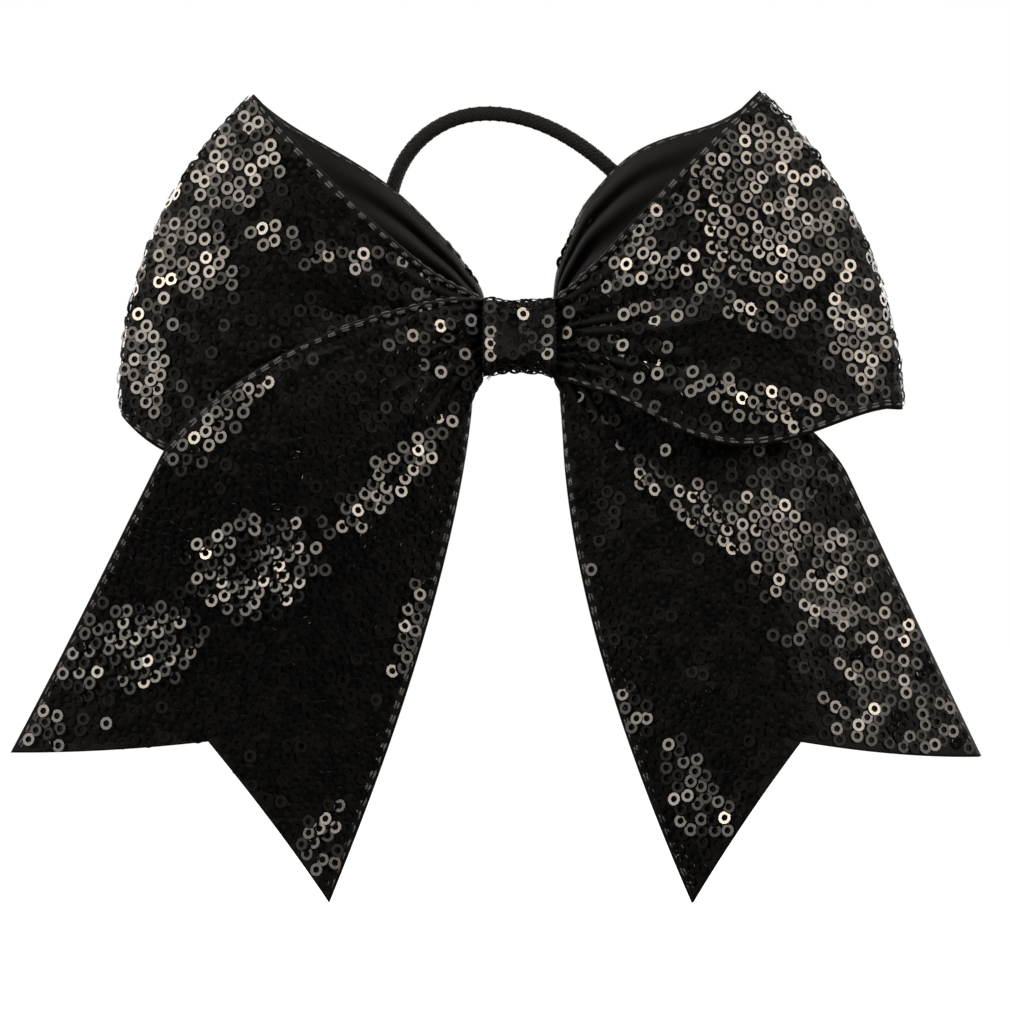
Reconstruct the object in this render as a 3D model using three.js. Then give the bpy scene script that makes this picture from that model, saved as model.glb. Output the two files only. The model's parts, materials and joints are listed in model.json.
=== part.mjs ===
import * as THREE from 'three';

// Sequined cheer hair bow, in millimetres. +X is the bow's right as seen from the front, +Y is its back
// and +Z is up. The origin is the middle of the flat back of the knot, where it rests on the hair.
//
// One lined ribbon makes the whole bow. It comes up from the left tail, crosses the front of the knot,
// goes round the right loop, crosses the back of the knot, goes round the left loop, crosses the middle of
// the knot and ends as the right tail.

// ---- Driving dimensions ----

// Ribbon: a lining with sequined net sewn on its outer side
const RIBBON_WIDTH = 76;
const LINING_THICKNESS = 0.5;
const SEQUIN_NET_THICKNESS = 0.7;
const LAYER_GAP = 0.3;
const STITCH_INSET = 1;
const STITCH_WIDTH = 0.9;
const STITCH_THICKNESS = 0.4;

// Knot: three gathered passes of the ribbon inside a wrap
const KNOT_WIDTH = 15.4;
const KNOT_HEIGHT = 16.8;
const KNOT_CORNER_RADIUS = 3.9;
const PASS_THICKNESS = 2.4;
const PASS_WAIST = 2;
const THREAD_DIAMETER = 0.6;
const THREAD_TURNS = 3;
const THREAD_PITCH = 1.3;
const WRAP_OVERLAP = 8;
const GLUE_THICKNESS = 0.5;
const GLUE_LENGTH = 5;

// Hair elastic: a cord bent to a ring, its ends joined by a ferrule inside the knot
const CORD_DIAMETER = 3.2;
const RING_HEIGHT = 48.7;
const RING_WIDTH = 52;
const RING_LEAN = 0.1;
const FERRULE_LENGTH = 8;
const FERRULE_DIAMETER = 3.8;

// Loops. reach and rise place the middle of the outer fold, lean tilts it, bow rounds it.
// Each edge of a panel swells up or down between the knot and the fold by rise, most at peak.
const RIGHT_LOOP = {
  side: 1,
  reach: 68.6,
  rise: 15.2,
  lean: 24.2,
  bow: 7.2,
  front: { depthTop: 17, depthBottom: 14, fullness: 1 },
  back: { depthTop: 14, depthBottom: 12, fullness: 2 },
  frontTop: { rise: 1.6, peak: 0.4, sharpness: 2.5 },
  frontBottom: { rise: -12.6, peak: 0.48, sharpness: 3.6 },
  backTop: { rise: 17.6, peak: 0.26, sharpness: 2.3 },
  backBottom: { rise: -3, peak: 0.4, sharpness: 2.5 },
};
const LEFT_LOOP = {
  side: -1,
  reach: 72.4,
  rise: 13.6,
  lean: 22.4,
  bow: 8.2,
  front: { depthTop: 16, depthBottom: 10, fullness: 1 },
  back: { depthTop: 14, depthBottom: 12, fullness: 2 },
  frontTop: { rise: -3, peak: 0.5, sharpness: 2.5 },
  frontBottom: { rise: -13.5, peak: 0.68, sharpness: 3 },
  backTop: { rise: 9, peak: 0.3, sharpness: 2.3 },
  backBottom: { rise: -3, peak: 0.4, sharpness: 2.5 },
};
const FOLD_DEPTH = 3.2;

// Tails. reach and splay place the middle of the cut end, tilt turns the cut, notch is the depth of its V.
// hip is where the outer edge leaves the loop, from the loop's lower corner.
const LEFT_TAIL = {
  side: -1,
  reach: 129.7,
  splay: 35.4,
  tilt: 25.4,
  notch: 20,
  hip: { x: -8.6, z: -9.4 },
  leave: { x: 72, z: 6 },
  innerBow: { x: -13.6, z: 14 },
  drape: 15,
  crown: 3,
  outerTipDepth: 5,
  innerTipDepth: 7,
};
const RIGHT_TAIL = {
  side: 1,
  reach: 126.8,
  splay: 32.9,
  tilt: 26.6,
  notch: 20.7,
  hip: { x: -10.7, z: -14 },
  leave: { x: 60, z: -6 },
  innerBow: { x: -17.4, z: 14 },
  drape: 0,
  crown: 13,
  outerTipDepth: 13,
  innerTipDepth: 9,
};

// The tails bend across a line below the loops, at this share of their length: the neck ends and the
// hanging part starts there, with a gap between them so that the tail can swing.
const BEND = 0.4;
const BEND_GAP = 0.034;
const DRAPE_SWELL = { peak: 0.28, sharpness: 3.6 };

// Mesh steps
const LOOP_STEPS = 24;
const NECK_STEPS = 6;
const HANG_STEPS = 7;
const GATHER_END = 0.04;
const WIDTH_STEPS = 8;
const CORNER_STEPS = 5;
const RING_STEPS = 56;
const CORD_SIDES = 8;
const THREAD_SIDES = 5;
const THREAD_STEPS = 26;
const FERRULE_SIDES = 12;

// ---- Sizes that follow from the driving dimensions ----

const WRAP_THICKNESS = LINING_THICKNESS + LAYER_GAP + SEQUIN_NET_THICKNESS;
const WRAP_STEP = WRAP_THICKNESS + GLUE_THICKNESS + 2 * LAYER_GAP;

// Depths behind the front of the knot's back face, from the back (0) to the front (negative)
const WRAP_BACK_DEPTH = -WRAP_STEP;
const CORD_DEPTH = WRAP_BACK_DEPTH - WRAP_THICKNESS - LAYER_GAP - FERRULE_DIAMETER / 2;
const BUNDLE_BACK = CORD_DEPTH - FERRULE_DIAMETER / 2 - THREAD_DIAMETER - 2 * LAYER_GAP;
const PASS_PITCH = PASS_THICKNESS + LAYER_GAP;
const BACK_PASS_DEPTH = BUNDLE_BACK - PASS_THICKNESS / 2;
const MIDDLE_PASS_DEPTH = BACK_PASS_DEPTH - PASS_PITCH;
const FRONT_PASS_DEPTH = MIDDLE_PASS_DEPTH - PASS_PITCH;
const BUNDLE_FRONT = FRONT_PASS_DEPTH - PASS_THICKNESS / 2;
const WRAP_FRONT_DEPTH = BUNDLE_FRONT - THREAD_DIAMETER - 2 * LAYER_GAP - WRAP_THICKNESS;

const WRAP_INNER_HALF = KNOT_HEIGHT / 2 - WRAP_THICKNESS;
const PASS_HALF_HEIGHT = WRAP_INNER_HALF - 2 * LAYER_GAP;
const PASS_HALF_LENGTH = KNOT_WIDTH / 2 + LAYER_GAP;
const RIBBON_START = PASS_HALF_LENGTH + WRAP_THICKNESS;
const WAIST_HALF_HEIGHT = PASS_HALF_HEIGHT - PASS_WAIST;

// ---- Helpers ----

const { lerp, degToRad } = THREE.MathUtils;
const ease = (t) => t * t * (3 - 2 * t);

// 0 at both ends of a line, 1 at its peak
function swell(t, { peak, sharpness }) {
  const climb = (t / peak) ** (sharpness * peak);
  const fall = ((1 - t) / (1 - peak)) ** (sharpness * (1 - peak));
  return climb * fall;
}

// Straight distance between the edges of a ribbon that bows by `bow` across its width
const chordAcross = (bow) => RIBBON_WIDTH - (8 * bow ** 2) / (3 * RIBBON_WIDTH);

function material(color, roughness, metalness = 0) {
  return new THREE.MeshStandardMaterial({ color, roughness, metalness });
}

const satin = () => material(0x1b1b1d, 0.55);
const sequins = () => material(0x0b0b0c, 0.25, 0.3);
const thread = () => material(0x2a2a2c, 0.5);

const bow = new THREE.Group();

function add(name, geometry, finish, parent = bow) {
  const mesh = new THREE.Mesh(geometry, finish);
  mesh.name = name;
  parent.add(mesh);
  return mesh;
}

// ---- Sheets ----

// Unit normal of a surface at (u, v), by differences. Where the gathers leave the knot it is taken a
// little way out, past the point where the edges run along the knot.
function normalAt(surface, given, v, facing) {
  const step = 1e-3;
  const u = Math.max(given, GATHER_END);
  const u0 = Math.max(u - step, 0);
  const u1 = Math.min(u + step, 1);
  const v0 = Math.max(v - step, 0);
  const v1 = Math.min(v + step, 1);
  const along = surface(u1, v).sub(surface(u0, v));
  const across = surface(u, v1).sub(surface(u, v0));
  return along.cross(across).normalize().multiplyScalar(facing);
}

// Closed solid between two offsets of a surface, over a patch of it
function sheetSolid(surface, facing, patch, low, high) {
  const { u0 = 0, u1 = 1, v0 = 0, v1 = 1, columns, rows } = patch;
  const positions = [];
  const index = [];
  for (const offset of [low, high]) {
    for (let i = 0; i <= columns; i++) {
      for (let j = 0; j <= rows; j++) {
        const u = lerp(u0, u1, i / columns);
        const v = lerp(v0, v1, j / rows);
        const point = surface(u, v);
        point.addScaledVector(normalAt(surface, u, v, facing), offset);
        positions.push(point.x, point.y, point.z);
      }
    }
  }
  const layer = (columns + 1) * (rows + 1);
  const at = (i, j, top) => top * layer + i * (rows + 1) + j;
  const quad = (a, b, c, d) => {
    if (facing > 0) index.push(a, b, c, a, c, d);
    else index.push(a, c, b, a, d, c);
  };
  for (let i = 0; i < columns; i++) {
    for (let j = 0; j < rows; j++) {
      quad(at(i, j, 1), at(i + 1, j, 1), at(i + 1, j + 1, 1), at(i, j + 1, 1));
      quad(at(i, j, 0), at(i, j + 1, 0), at(i + 1, j + 1, 0), at(i + 1, j, 0));
    }
    quad(at(i, 0, 0), at(i + 1, 0, 0), at(i + 1, 0, 1), at(i, 0, 1));
    quad(at(i, rows, 0), at(i, rows, 1), at(i + 1, rows, 1), at(i + 1, rows, 0));
  }
  for (let j = 0; j < rows; j++) {
    quad(at(0, j, 0), at(0, j, 1), at(0, j + 1, 1), at(0, j + 1, 0));
    quad(at(columns, j, 0), at(columns, j + 1, 0), at(columns, j + 1, 1), at(columns, j, 1));
  }
  const geometry = new THREE.BufferGeometry();
  geometry.setAttribute('position', new THREE.Float32BufferAttribute(positions, 3));
  geometry.setIndex(index);
  geometry.computeVertexNormals();
  return geometry;
}

// The layers of one stretch of ribbon: lining inside, sequined net outside, a stitched row on each edge
function addRibbon(name, surface, facing, stretch, edgeNames) {
  const half = LAYER_GAP / 2;
  const net = half + SEQUIN_NET_THICKNESS;
  const patch = { ...stretch, rows: WIDTH_STEPS };
  const lining = sheetSolid(surface, facing, patch, -half - LINING_THICKNESS, -half);
  add(`${name}_lining`, lining, satin());
  add(`${name}_sequin_net`, sheetSolid(surface, facing, patch, half, net), sequins());
  const from = STITCH_INSET / RIBBON_WIDTH;
  const to = from + STITCH_WIDTH / RIBBON_WIDTH;
  const rows = [{ v0: from, v1: to }, { v0: 1 - to, v1: 1 - from }];
  rows.forEach((row, i) => {
    const strip = { ...stretch, ...row, rows: 1 };
    const low = net + LAYER_GAP;
    const solid = sheetSolid(surface, facing, strip, low, low + STITCH_THICKNESS);
    add(`${name}_${edgeNames[i]}_stitching`, solid, thread());
  });
}

const knotCorner = (side, up) => {
  return new THREE.Vector3(side * RIBBON_START, 0, up * PASS_HALF_HEIGHT);
};

// ---- Loops ----

// Outer fold of a loop, from its top corner (v = 0) to its bottom corner (v = 1)
function foldPoint({ side, reach, rise, lean, bow: bulge }, v) {
  const half = chordAcross(bulge) / 2;
  const up = degToRad(lean);
  const middle = degToRad(rise);
  const along = half * (1 - 2 * v);
  const out = bulge * 4 * v * (1 - v);
  return new THREE.Vector3(
    side * (reach * Math.cos(middle) - along * Math.sin(up) + out * Math.cos(up)),
    0,
    reach * Math.sin(middle) + along * Math.cos(up) + out * Math.sin(up),
  );
}

// Goes once round the loop: back of the knot (u = 0), outer fold (u = 0.5), front of the knot (u = 1)
function loopSurface(loop, frontPassDepth) {
  const foldTop = foldPoint(loop, 0);
  const foldBottom = foldPoint(loop, 1);
  return (u, v) => {
    const turn = 2 * Math.PI * u;
    const out = (1 - Math.cos(turn)) / 2;
    const isBack = u < 0.5;
    const panel = isBack ? loop.back : loop.front;
    const top = isBack ? loop.backTop : loop.frontTop;
    const bottom = isBack ? loop.backBottom : loop.frontBottom;
    const upper = knotCorner(loop.side, 1).lerp(foldTop, out);
    upper.z += top.rise * swell(out, top);
    const lower = knotCorner(loop.side, -1).lerp(foldBottom, out);
    lower.z += bottom.rise * swell(out, bottom);
    const point = upper.lerp(lower, v);
    const bowed = foldPoint(loop, v).sub(foldTop.clone().lerp(foldBottom, v));
    point.addScaledVector(bowed, out);
    const depth = lerp(panel.depthTop, panel.depthBottom, v);
    const passDepth = isBack ? BACK_PASS_DEPTH : frontPassDepth;
    const swing = Math.sin(turn) * Math.sin(turn / 2) ** panel.fullness;
    point.y = lerp(passDepth, MIDDLE_PASS_DEPTH - FOLD_DEPTH, out) + depth * swing;
    return point;
  };
}

function addLoop(name, loop, frontPassDepth) {
  const surface = loopSurface(loop, frontPassDepth);
  addRibbon(name, surface, loop.side, { columns: LOOP_STEPS }, ['top', 'bottom']);
}

// ---- Tails ----

// Middle of the cut end, and the outer (1) or inner (-1) tip
function tailTip({ side, reach, splay, tilt, crown }, way) {
  const half = (chordAcross(crown) / 2) * way;
  return new THREE.Vector3(
    side * (reach * Math.sin(degToRad(splay)) + half * Math.cos(degToRad(tilt))),
    0,
    -reach * Math.cos(degToRad(splay)) + half * Math.sin(degToRad(tilt)),
  );
}

// Outer edge: curves out of the knot to the hip beside the loop, then runs straight to the tip
function outerEdge(tail, loop) {
  const { side, hip, leave } = tail;
  const start = knotCorner(side, 1);
  const corner = foldPoint(loop, 1);
  const turn = new THREE.Vector3(corner.x + side * hip.x, 0, corner.z + hip.z);
  const tip = tailTip(tail, 1);
  const arrive = tip.clone().sub(turn).multiplyScalar(BEND / (1 - BEND));
  const bend = new THREE.CubicBezierCurve3(
    start,
    start.clone().add(new THREE.Vector3((side * leave.x) / 3, 0, leave.z / 3)),
    turn.clone().addScaledVector(arrive, -1 / 3),
    turn,
  );
  return (u) => {
    if (u < BEND) return bend.getPoint(u / BEND);
    return turn.clone().lerp(tip, (u - BEND) / (1 - BEND));
  };
}

// Inner edge: one shallow curve from the bottom of the knot to the inner tip
function innerEdge(tail) {
  const start = knotCorner(tail.side, -1);
  const tip = tailTip(tail, -1);
  const middle = start.clone().lerp(tip, 0.5);
  middle.x += tail.side * tail.innerBow.x;
  middle.z += tail.innerBow.z;
  const curve = new THREE.QuadraticBezierCurve3(start, middle, tip);
  return (u) => curve.getPoint(u);
}

// Runs from the knot (u = 0) to the cut end (u = 1), from the outer edge (v = 0) to the inner (v = 1)
function tailSurface(tail, loop, passDepth) {
  const outer = outerEdge(tail, loop);
  const inner = innerEdge(tail);
  return (u, v) => {
    const cut = 1 - (tail.notch / tail.reach) * (1 - Math.abs(2 * v - 1));
    const along = u < BEND ? u : lerp(BEND, cut, (u - BEND) / (1 - BEND));
    const point = outer(along).lerp(inner(along), v);
    const eased = ease(along);
    const tipDepth = lerp(tail.outerTipDepth, tail.innerTipDepth, v);
    const hung = lerp(passDepth, MIDDLE_PASS_DEPTH + tipDepth, eased);
    const draped = tail.drape * (1 - v ** 2) * swell(along, DRAPE_SWELL);
    point.y = hung - draped - tail.crown * eased * 4 * v * (1 - v);
    return point;
  };
}

function addTail(name, tail, loop, passDepth) {
  const surface = tailSurface(tail, loop, passDepth);
  const edges = ['outer', 'inner'];
  const neck = { u1: BEND - BEND_GAP / 2, columns: NECK_STEPS };
  const hang = { u0: BEND + BEND_GAP / 2, columns: HANG_STEPS };
  addRibbon(`${name}_neck`, surface, -tail.side, neck, edges);
  addRibbon(name, surface, -tail.side, hang, edges);
}

// ---- Knot ----

// A pass of gathered ribbon: a flat bundle, pinched at its middle, that runs along X
function addPass(name, depth) {
  const shape = new THREE.Shape();
  const end = PASS_HALF_HEIGHT;
  const waist = 2 * WAIST_HALF_HEIGHT - end;
  shape.moveTo(-PASS_HALF_LENGTH, -end);
  shape.quadraticCurveTo(0, -waist, PASS_HALF_LENGTH, -end);
  shape.lineTo(PASS_HALF_LENGTH, end);
  shape.quadraticCurveTo(0, waist, -PASS_HALF_LENGTH, end);
  shape.closePath();
  const geometry = new THREE.ExtrudeGeometry(shape, {
    depth: PASS_THICKNESS,
    bevelEnabled: false,
    curveSegments: 8,
  });
  const mesh = add(name, geometry, satin());
  mesh.rotation.x = Math.PI / 2;
  mesh.position.y = depth + PASS_THICKNESS / 2;
}

// Gathering thread: turns round the waist of the three passes
class ThreadPath extends THREE.Curve {
  getPoint(t, target = new THREE.Vector3()) {
    const clearance = LAYER_GAP + THREAD_DIAMETER / 2;
    const middle = (BUNDLE_BACK + BUNDLE_FRONT) / 2;
    const halfDepth = (BUNDLE_BACK - BUNDLE_FRONT) / 2 + clearance;
    const halfHeight = WAIST_HALF_HEIGHT + 2.5 * clearance;
    const turn = 2 * Math.PI * THREAD_TURNS * t;
    // A superellipse of power 8 keeps the thread outside the bundle's square corners
    const [c, s] = [Math.cos(turn), Math.sin(turn)];
    const scale = (c ** 8 + s ** 8) ** (-1 / 8);
    return target.set(
      THREAD_TURNS * THREAD_PITCH * (t - 0.5),
      middle + halfDepth * scale * s,
      halfHeight * scale * c,
    );
  }
}

function addThread() {
  const section = new THREE.Shape();
  section.absarc(0, 0, THREAD_DIAMETER / 2, 0, 2 * Math.PI);
  const geometry = new THREE.ExtrudeGeometry(section, {
    extrudePath: new ThreadPath(),
    steps: THREAD_TURNS * THREAD_STEPS,
    curveSegments: THREAD_SIDES,
    bevelEnabled: false,
  });
  add('gathering_thread', geometry, thread());
}

// Points of the wrap at an offset outside its innermost surface. It starts at the back, goes down and
// round the front, and ends at the back over its own start.
function wrapLine(offset) {
  const radius = KNOT_CORNER_RADIUS - WRAP_THICKNESS;
  const z = WRAP_INNER_HALF - radius;
  const front = WRAP_FRONT_DEPTH + WRAP_THICKNESS + radius;
  const back = WRAP_BACK_DEPTH - WRAP_THICKNESS - radius;
  const corners = [
    { y: back, z: -z, from: 0 },
    { y: front, z: -z, from: -90 },
    { y: front, z, from: -180 },
    { y: back + WRAP_STEP, z, from: -270 },
  ];
  const points = [[back + radius + offset, WRAP_OVERLAP / 2]];
  for (const { y, z: height, from } of corners) {
    for (let i = 0; i <= CORNER_STEPS; i++) {
      const angle = degToRad(from - (90 * i) / CORNER_STEPS);
      const r = radius + offset;
      points.push([y + r * Math.cos(angle), height + r * Math.sin(angle)]);
    }
  }
  points.push([back + radius + WRAP_STEP + offset, -WRAP_OVERLAP / 2]);
  return points;
}

// A strip that follows the wrap between two offsets, KNOT_WIDTH wide along X
function addWrapLayer(name, low, high, finish) {
  const outline = [...wrapLine(high), ...wrapLine(low).reverse()];
  const shape = new THREE.Shape(outline.map(([y, z]) => new THREE.Vector2(y, z)));
  const geometry = new THREE.ExtrudeGeometry(shape, { depth: KNOT_WIDTH, bevelEnabled: false });
  layAcross(geometry, KNOT_WIDTH);
  add(name, geometry, finish);
}

// Turns an outline drawn in (depth, height) and extruded by `length` so that it runs along X
function layAcross(geometry, length) {
  geometry.applyMatrix4(new THREE.Matrix4().set(
    0, 0, 1, -length / 2,
    1, 0, 0, 0,
    0, 1, 0, 0,
    0, 0, 0, 1,
  ));
}

function addGlue() {
  const width = KNOT_WIDTH - 4 * LAYER_GAP;
  const geometry = new THREE.BoxGeometry(width, GLUE_THICKNESS, GLUE_LENGTH, 4, 1, 2);
  const mesh = add('wrap_glue_seam', geometry, material(0xd8d2c4, 0.4));
  mesh.position.y = WRAP_BACK_DEPTH + LAYER_GAP + GLUE_THICKNESS / 2;
}

// ---- Hair elastic ----

// Point of the ring at a share of its width and height. It leans back a little as it rises.
function ringPoint(across, up) {
  const z = up * RING_HEIGHT;
  return new THREE.Vector3(across * RING_WIDTH, CORD_DEPTH + z * RING_LEAN, z);
}

function ringPath() {
  const start = FERRULE_LENGTH / 2 + LAYER_GAP;
  const straight = KNOT_WIDTH / 2 + CORD_DIAMETER / 2;
  const at = (x) => new THREE.Vector3(x, CORD_DEPTH, 0);
  const path = new THREE.CurvePath();
  path.add(new THREE.LineCurve3(at(start), at(straight)));
  path.add(new THREE.CubicBezierCurve3(
    at(straight), ringPoint(0.44, 0), ringPoint(0.62, 0.5), ringPoint(0.41, 0.72),
  ));
  path.add(new THREE.CubicBezierCurve3(
    ringPoint(0.41, 0.72), ringPoint(0.27, 0.87), ringPoint(0.08, 1), ringPoint(-0.13, 1),
  ));
  path.add(new THREE.CubicBezierCurve3(
    ringPoint(-0.13, 1), ringPoint(-0.35, 1), ringPoint(-0.54, 0.82), ringPoint(-0.54, 0.53),
  ));
  path.add(new THREE.CubicBezierCurve3(
    ringPoint(-0.54, 0.53), ringPoint(-0.54, 0.2), ringPoint(-0.44, 0), at(-straight),
  ));
  path.add(new THREE.LineCurve3(at(-straight), at(-start)));
  return path;
}

function addElastic() {
  const section = new THREE.Shape();
  section.absarc(0, 0, CORD_DIAMETER / 2, 0, 2 * Math.PI);
  const cord = new THREE.ExtrudeGeometry(section, {
    extrudePath: ringPath(),
    steps: RING_STEPS,
    curveSegments: CORD_SIDES,
    bevelEnabled: false,
  });
  add('elastic_cord', cord, material(0x2c2c2f, 0.8));
  const sleeve = new THREE.CylinderGeometry(
    FERRULE_DIAMETER / 2, FERRULE_DIAMETER / 2, FERRULE_LENGTH, FERRULE_SIDES,
  );
  const ferrule = add('elastic_ferrule', sleeve, material(0x9a9ca0, 0.35, 1));
  ferrule.rotation.z = Math.PI / 2;
  ferrule.position.y = CORD_DEPTH;
}

// ---- Assembly ----

addLoop('left_loop', LEFT_LOOP, MIDDLE_PASS_DEPTH);
addLoop('right_loop', RIGHT_LOOP, FRONT_PASS_DEPTH);
addTail('left_tail', LEFT_TAIL, LEFT_LOOP, FRONT_PASS_DEPTH);
addTail('right_tail', RIGHT_TAIL, RIGHT_LOOP, MIDDLE_PASS_DEPTH);
addPass('gathered_front_pass', FRONT_PASS_DEPTH);
addPass('gathered_middle_pass', MIDDLE_PASS_DEPTH);
addPass('gathered_back_pass', BACK_PASS_DEPTH);
addThread();
addWrapLayer('knot_wrap_lining', 0, LINING_THICKNESS, satin());
addWrapLayer('knot_wrap_sequin_net', LINING_THICKNESS + LAYER_GAP, WRAP_THICKNESS, sequins());
addGlue();
addElastic();

export default bow;
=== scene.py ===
"""Builds the looks of a sequined cheer hair bow around its fixed frame: the lined ribbon with its net and
sequins, the edge stitching, the wrapped knot, the braided hair elastic, and a plain studio.

Sizes in the script are in millimetres unless a name says otherwise; Blender works in metres."""
import json
import math

import bpy
import numpy as np
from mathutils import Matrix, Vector
from mathutils.kdtree import KDTree


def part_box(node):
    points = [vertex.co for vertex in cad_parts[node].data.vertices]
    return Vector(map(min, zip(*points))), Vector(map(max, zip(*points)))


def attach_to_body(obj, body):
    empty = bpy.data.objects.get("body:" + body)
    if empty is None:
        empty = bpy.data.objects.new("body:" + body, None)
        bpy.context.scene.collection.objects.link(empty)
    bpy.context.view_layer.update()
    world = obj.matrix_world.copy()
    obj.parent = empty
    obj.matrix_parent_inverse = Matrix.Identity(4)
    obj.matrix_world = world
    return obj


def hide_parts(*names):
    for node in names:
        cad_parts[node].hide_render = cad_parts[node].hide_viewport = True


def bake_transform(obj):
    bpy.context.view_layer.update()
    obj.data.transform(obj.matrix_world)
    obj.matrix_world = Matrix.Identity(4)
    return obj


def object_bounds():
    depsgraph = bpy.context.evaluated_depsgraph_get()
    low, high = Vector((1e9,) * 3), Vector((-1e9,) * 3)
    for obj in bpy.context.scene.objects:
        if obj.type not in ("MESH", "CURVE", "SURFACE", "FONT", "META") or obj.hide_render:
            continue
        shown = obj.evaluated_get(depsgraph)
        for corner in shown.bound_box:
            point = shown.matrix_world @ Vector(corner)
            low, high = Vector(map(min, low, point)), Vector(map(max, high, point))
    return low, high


bl_info = {
    "name": "Cheer Hair Bow",
    "version": (1, 0, 0),
    "blender": (4, 5, 0),
    "location": "View3D > Sidebar > Hair Bow",
    "description": "Makes the ribbon, sequins, stitching, knot and elastic of a cheer hair bow",
    "category": "Object",
}

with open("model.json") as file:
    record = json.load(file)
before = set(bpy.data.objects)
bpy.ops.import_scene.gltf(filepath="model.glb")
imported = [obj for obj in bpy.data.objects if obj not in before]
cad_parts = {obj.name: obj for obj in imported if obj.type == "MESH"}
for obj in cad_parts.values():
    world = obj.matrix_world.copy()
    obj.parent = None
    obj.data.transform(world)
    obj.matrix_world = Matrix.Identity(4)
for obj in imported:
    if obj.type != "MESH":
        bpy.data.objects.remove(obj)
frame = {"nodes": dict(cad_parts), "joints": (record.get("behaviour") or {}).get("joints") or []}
CAD_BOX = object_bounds()

MM = 0.001


def box_mm(node):
    """Lowest and highest corner of a frame node, in millimetres."""
    return [np.array(corner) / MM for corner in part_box(node)]


# ---- Places that come from the frame ----

FRONT_PASS, MIDDLE_PASS, BACK_PASS = (
    float(np.mean([corner[1] for corner in box_mm(f"gathered_{name}_pass")]))
    for name in ("front", "middle", "back")
)
PASS_END = float(box_mm("gathered_front_pass")[1][0])
PASS_HALF_HEIGHT = float(box_mm("gathered_front_pass")[1][2])
WRAP_LOW, WRAP_HIGH = box_mm("knot_wrap_sequin_net")
WRAP_INNER_HIGH = box_mm("knot_wrap_lining")[1]
WRAP_WIDTH = float(WRAP_HIGH[0] - WRAP_LOW[0])
CORD_HIGH = box_mm("elastic_cord")[1]
FERRULE_LOW, FERRULE_HIGH = box_mm("elastic_ferrule")
CORD_DEPTH = float((FERRULE_LOW[1] + FERRULE_HIGH[1]) / 2)
WRAP_THICKNESS = 1.5
RIBBON_START = PASS_END + WRAP_THICKNESS
# The ribbon starts close beside the wrap's edge and puffs up there; both effects fade over a distance
TUCK = WRAP_WIDTH / 2 + 0.12
TUCK_FADE = 2.5
FLARE_ABOVE = 0.22
FLARE_BELOW = 0.45
FLARE_FADE = 8

# ---- The ribbon's path, by the same rules as the frame ----

# reach and rise place the middle of a loop's outer fold, lean tilts it, bow rounds it; rise and lean are in
# degrees. front and back say how far those panels stand out at their top and bottom edges, and how late.
# Each edge of a panel swells by its own rise between the knot and the fold, most at peak.
RIGHT_LOOP = {
    "side": 1, "reach": 68.6, "rise": 15.2, "lean": 24.2, "bow": 7.2,
    "front": {"top": 17, "bottom": 14, "fullness": 1},
    "back": {"top": 14, "bottom": 12, "fullness": 2},
    "front_top": {"rise": 1.6, "peak": 0.4, "sharpness": 2.5},
    "front_bottom": {"rise": -12.6, "peak": 0.48, "sharpness": 3.6},
    "back_top": {"rise": 17.6, "peak": 0.26, "sharpness": 2.3},
    "back_bottom": {"rise": -3, "peak": 0.4, "sharpness": 2.5},
}
LEFT_LOOP = {
    "side": -1, "reach": 72.4, "rise": 13.6, "lean": 22.4, "bow": 8.2,
    "front": {"top": 16, "bottom": 10, "fullness": 1},
    "back": {"top": 14, "bottom": 12, "fullness": 2},
    "front_top": {"rise": -3, "peak": 0.5, "sharpness": 2.5},
    "front_bottom": {"rise": -13.5, "peak": 0.68, "sharpness": 3},
    "back_top": {"rise": 9, "peak": 0.3, "sharpness": 2.3},
    "back_bottom": {"rise": -3, "peak": 0.4, "sharpness": 2.5},
}
# The outer folds lie this far in front of the middle pass
FOLD_DEPTH = 3.2

# reach and splay place the middle of a tail's cut end, tilt turns the cut, notch is the depth of its V;
# splay and tilt are in degrees. hip is where the outer edge leaves the loop, from the loop's lower corner,
# leave its way out of the knot, and inner_bow how far the inner edge bows. drape and crown bring the cloth
# forward, and the tips are how far behind the middle pass the corners of the cut end hang.
LEFT_TAIL = {
    "side": -1, "reach": 129.7, "splay": 35.4, "tilt": 25.4, "notch": 20,
    "hip": (-8.6, -9.4), "leave": (72, 6), "inner_bow": (-13.6, 14),
    "drape": 15, "crown": 3, "outer_tip": 5, "inner_tip": 7,
}
RIGHT_TAIL = {
    "side": 1, "reach": 126.8, "splay": 32.9, "tilt": 26.6, "notch": 20.7,
    "hip": (-10.7, -14), "leave": (60, -6), "inner_bow": (-17.4, 14),
    "drape": 0, "crown": 13, "outer_tip": 13, "inner_tip": 9,
}
# A tail bends at this share of its reach, and drapes forward most at peak
BEND = 0.4
DRAPE = {"peak": 0.28, "sharpness": 3.6}
PANELS = {"left_loop": LEFT_LOOP, "right_loop": RIGHT_LOOP, "left_tail": LEFT_TAIL, "right_tail": RIGHT_TAIL}

# ---- Settings ----


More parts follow.
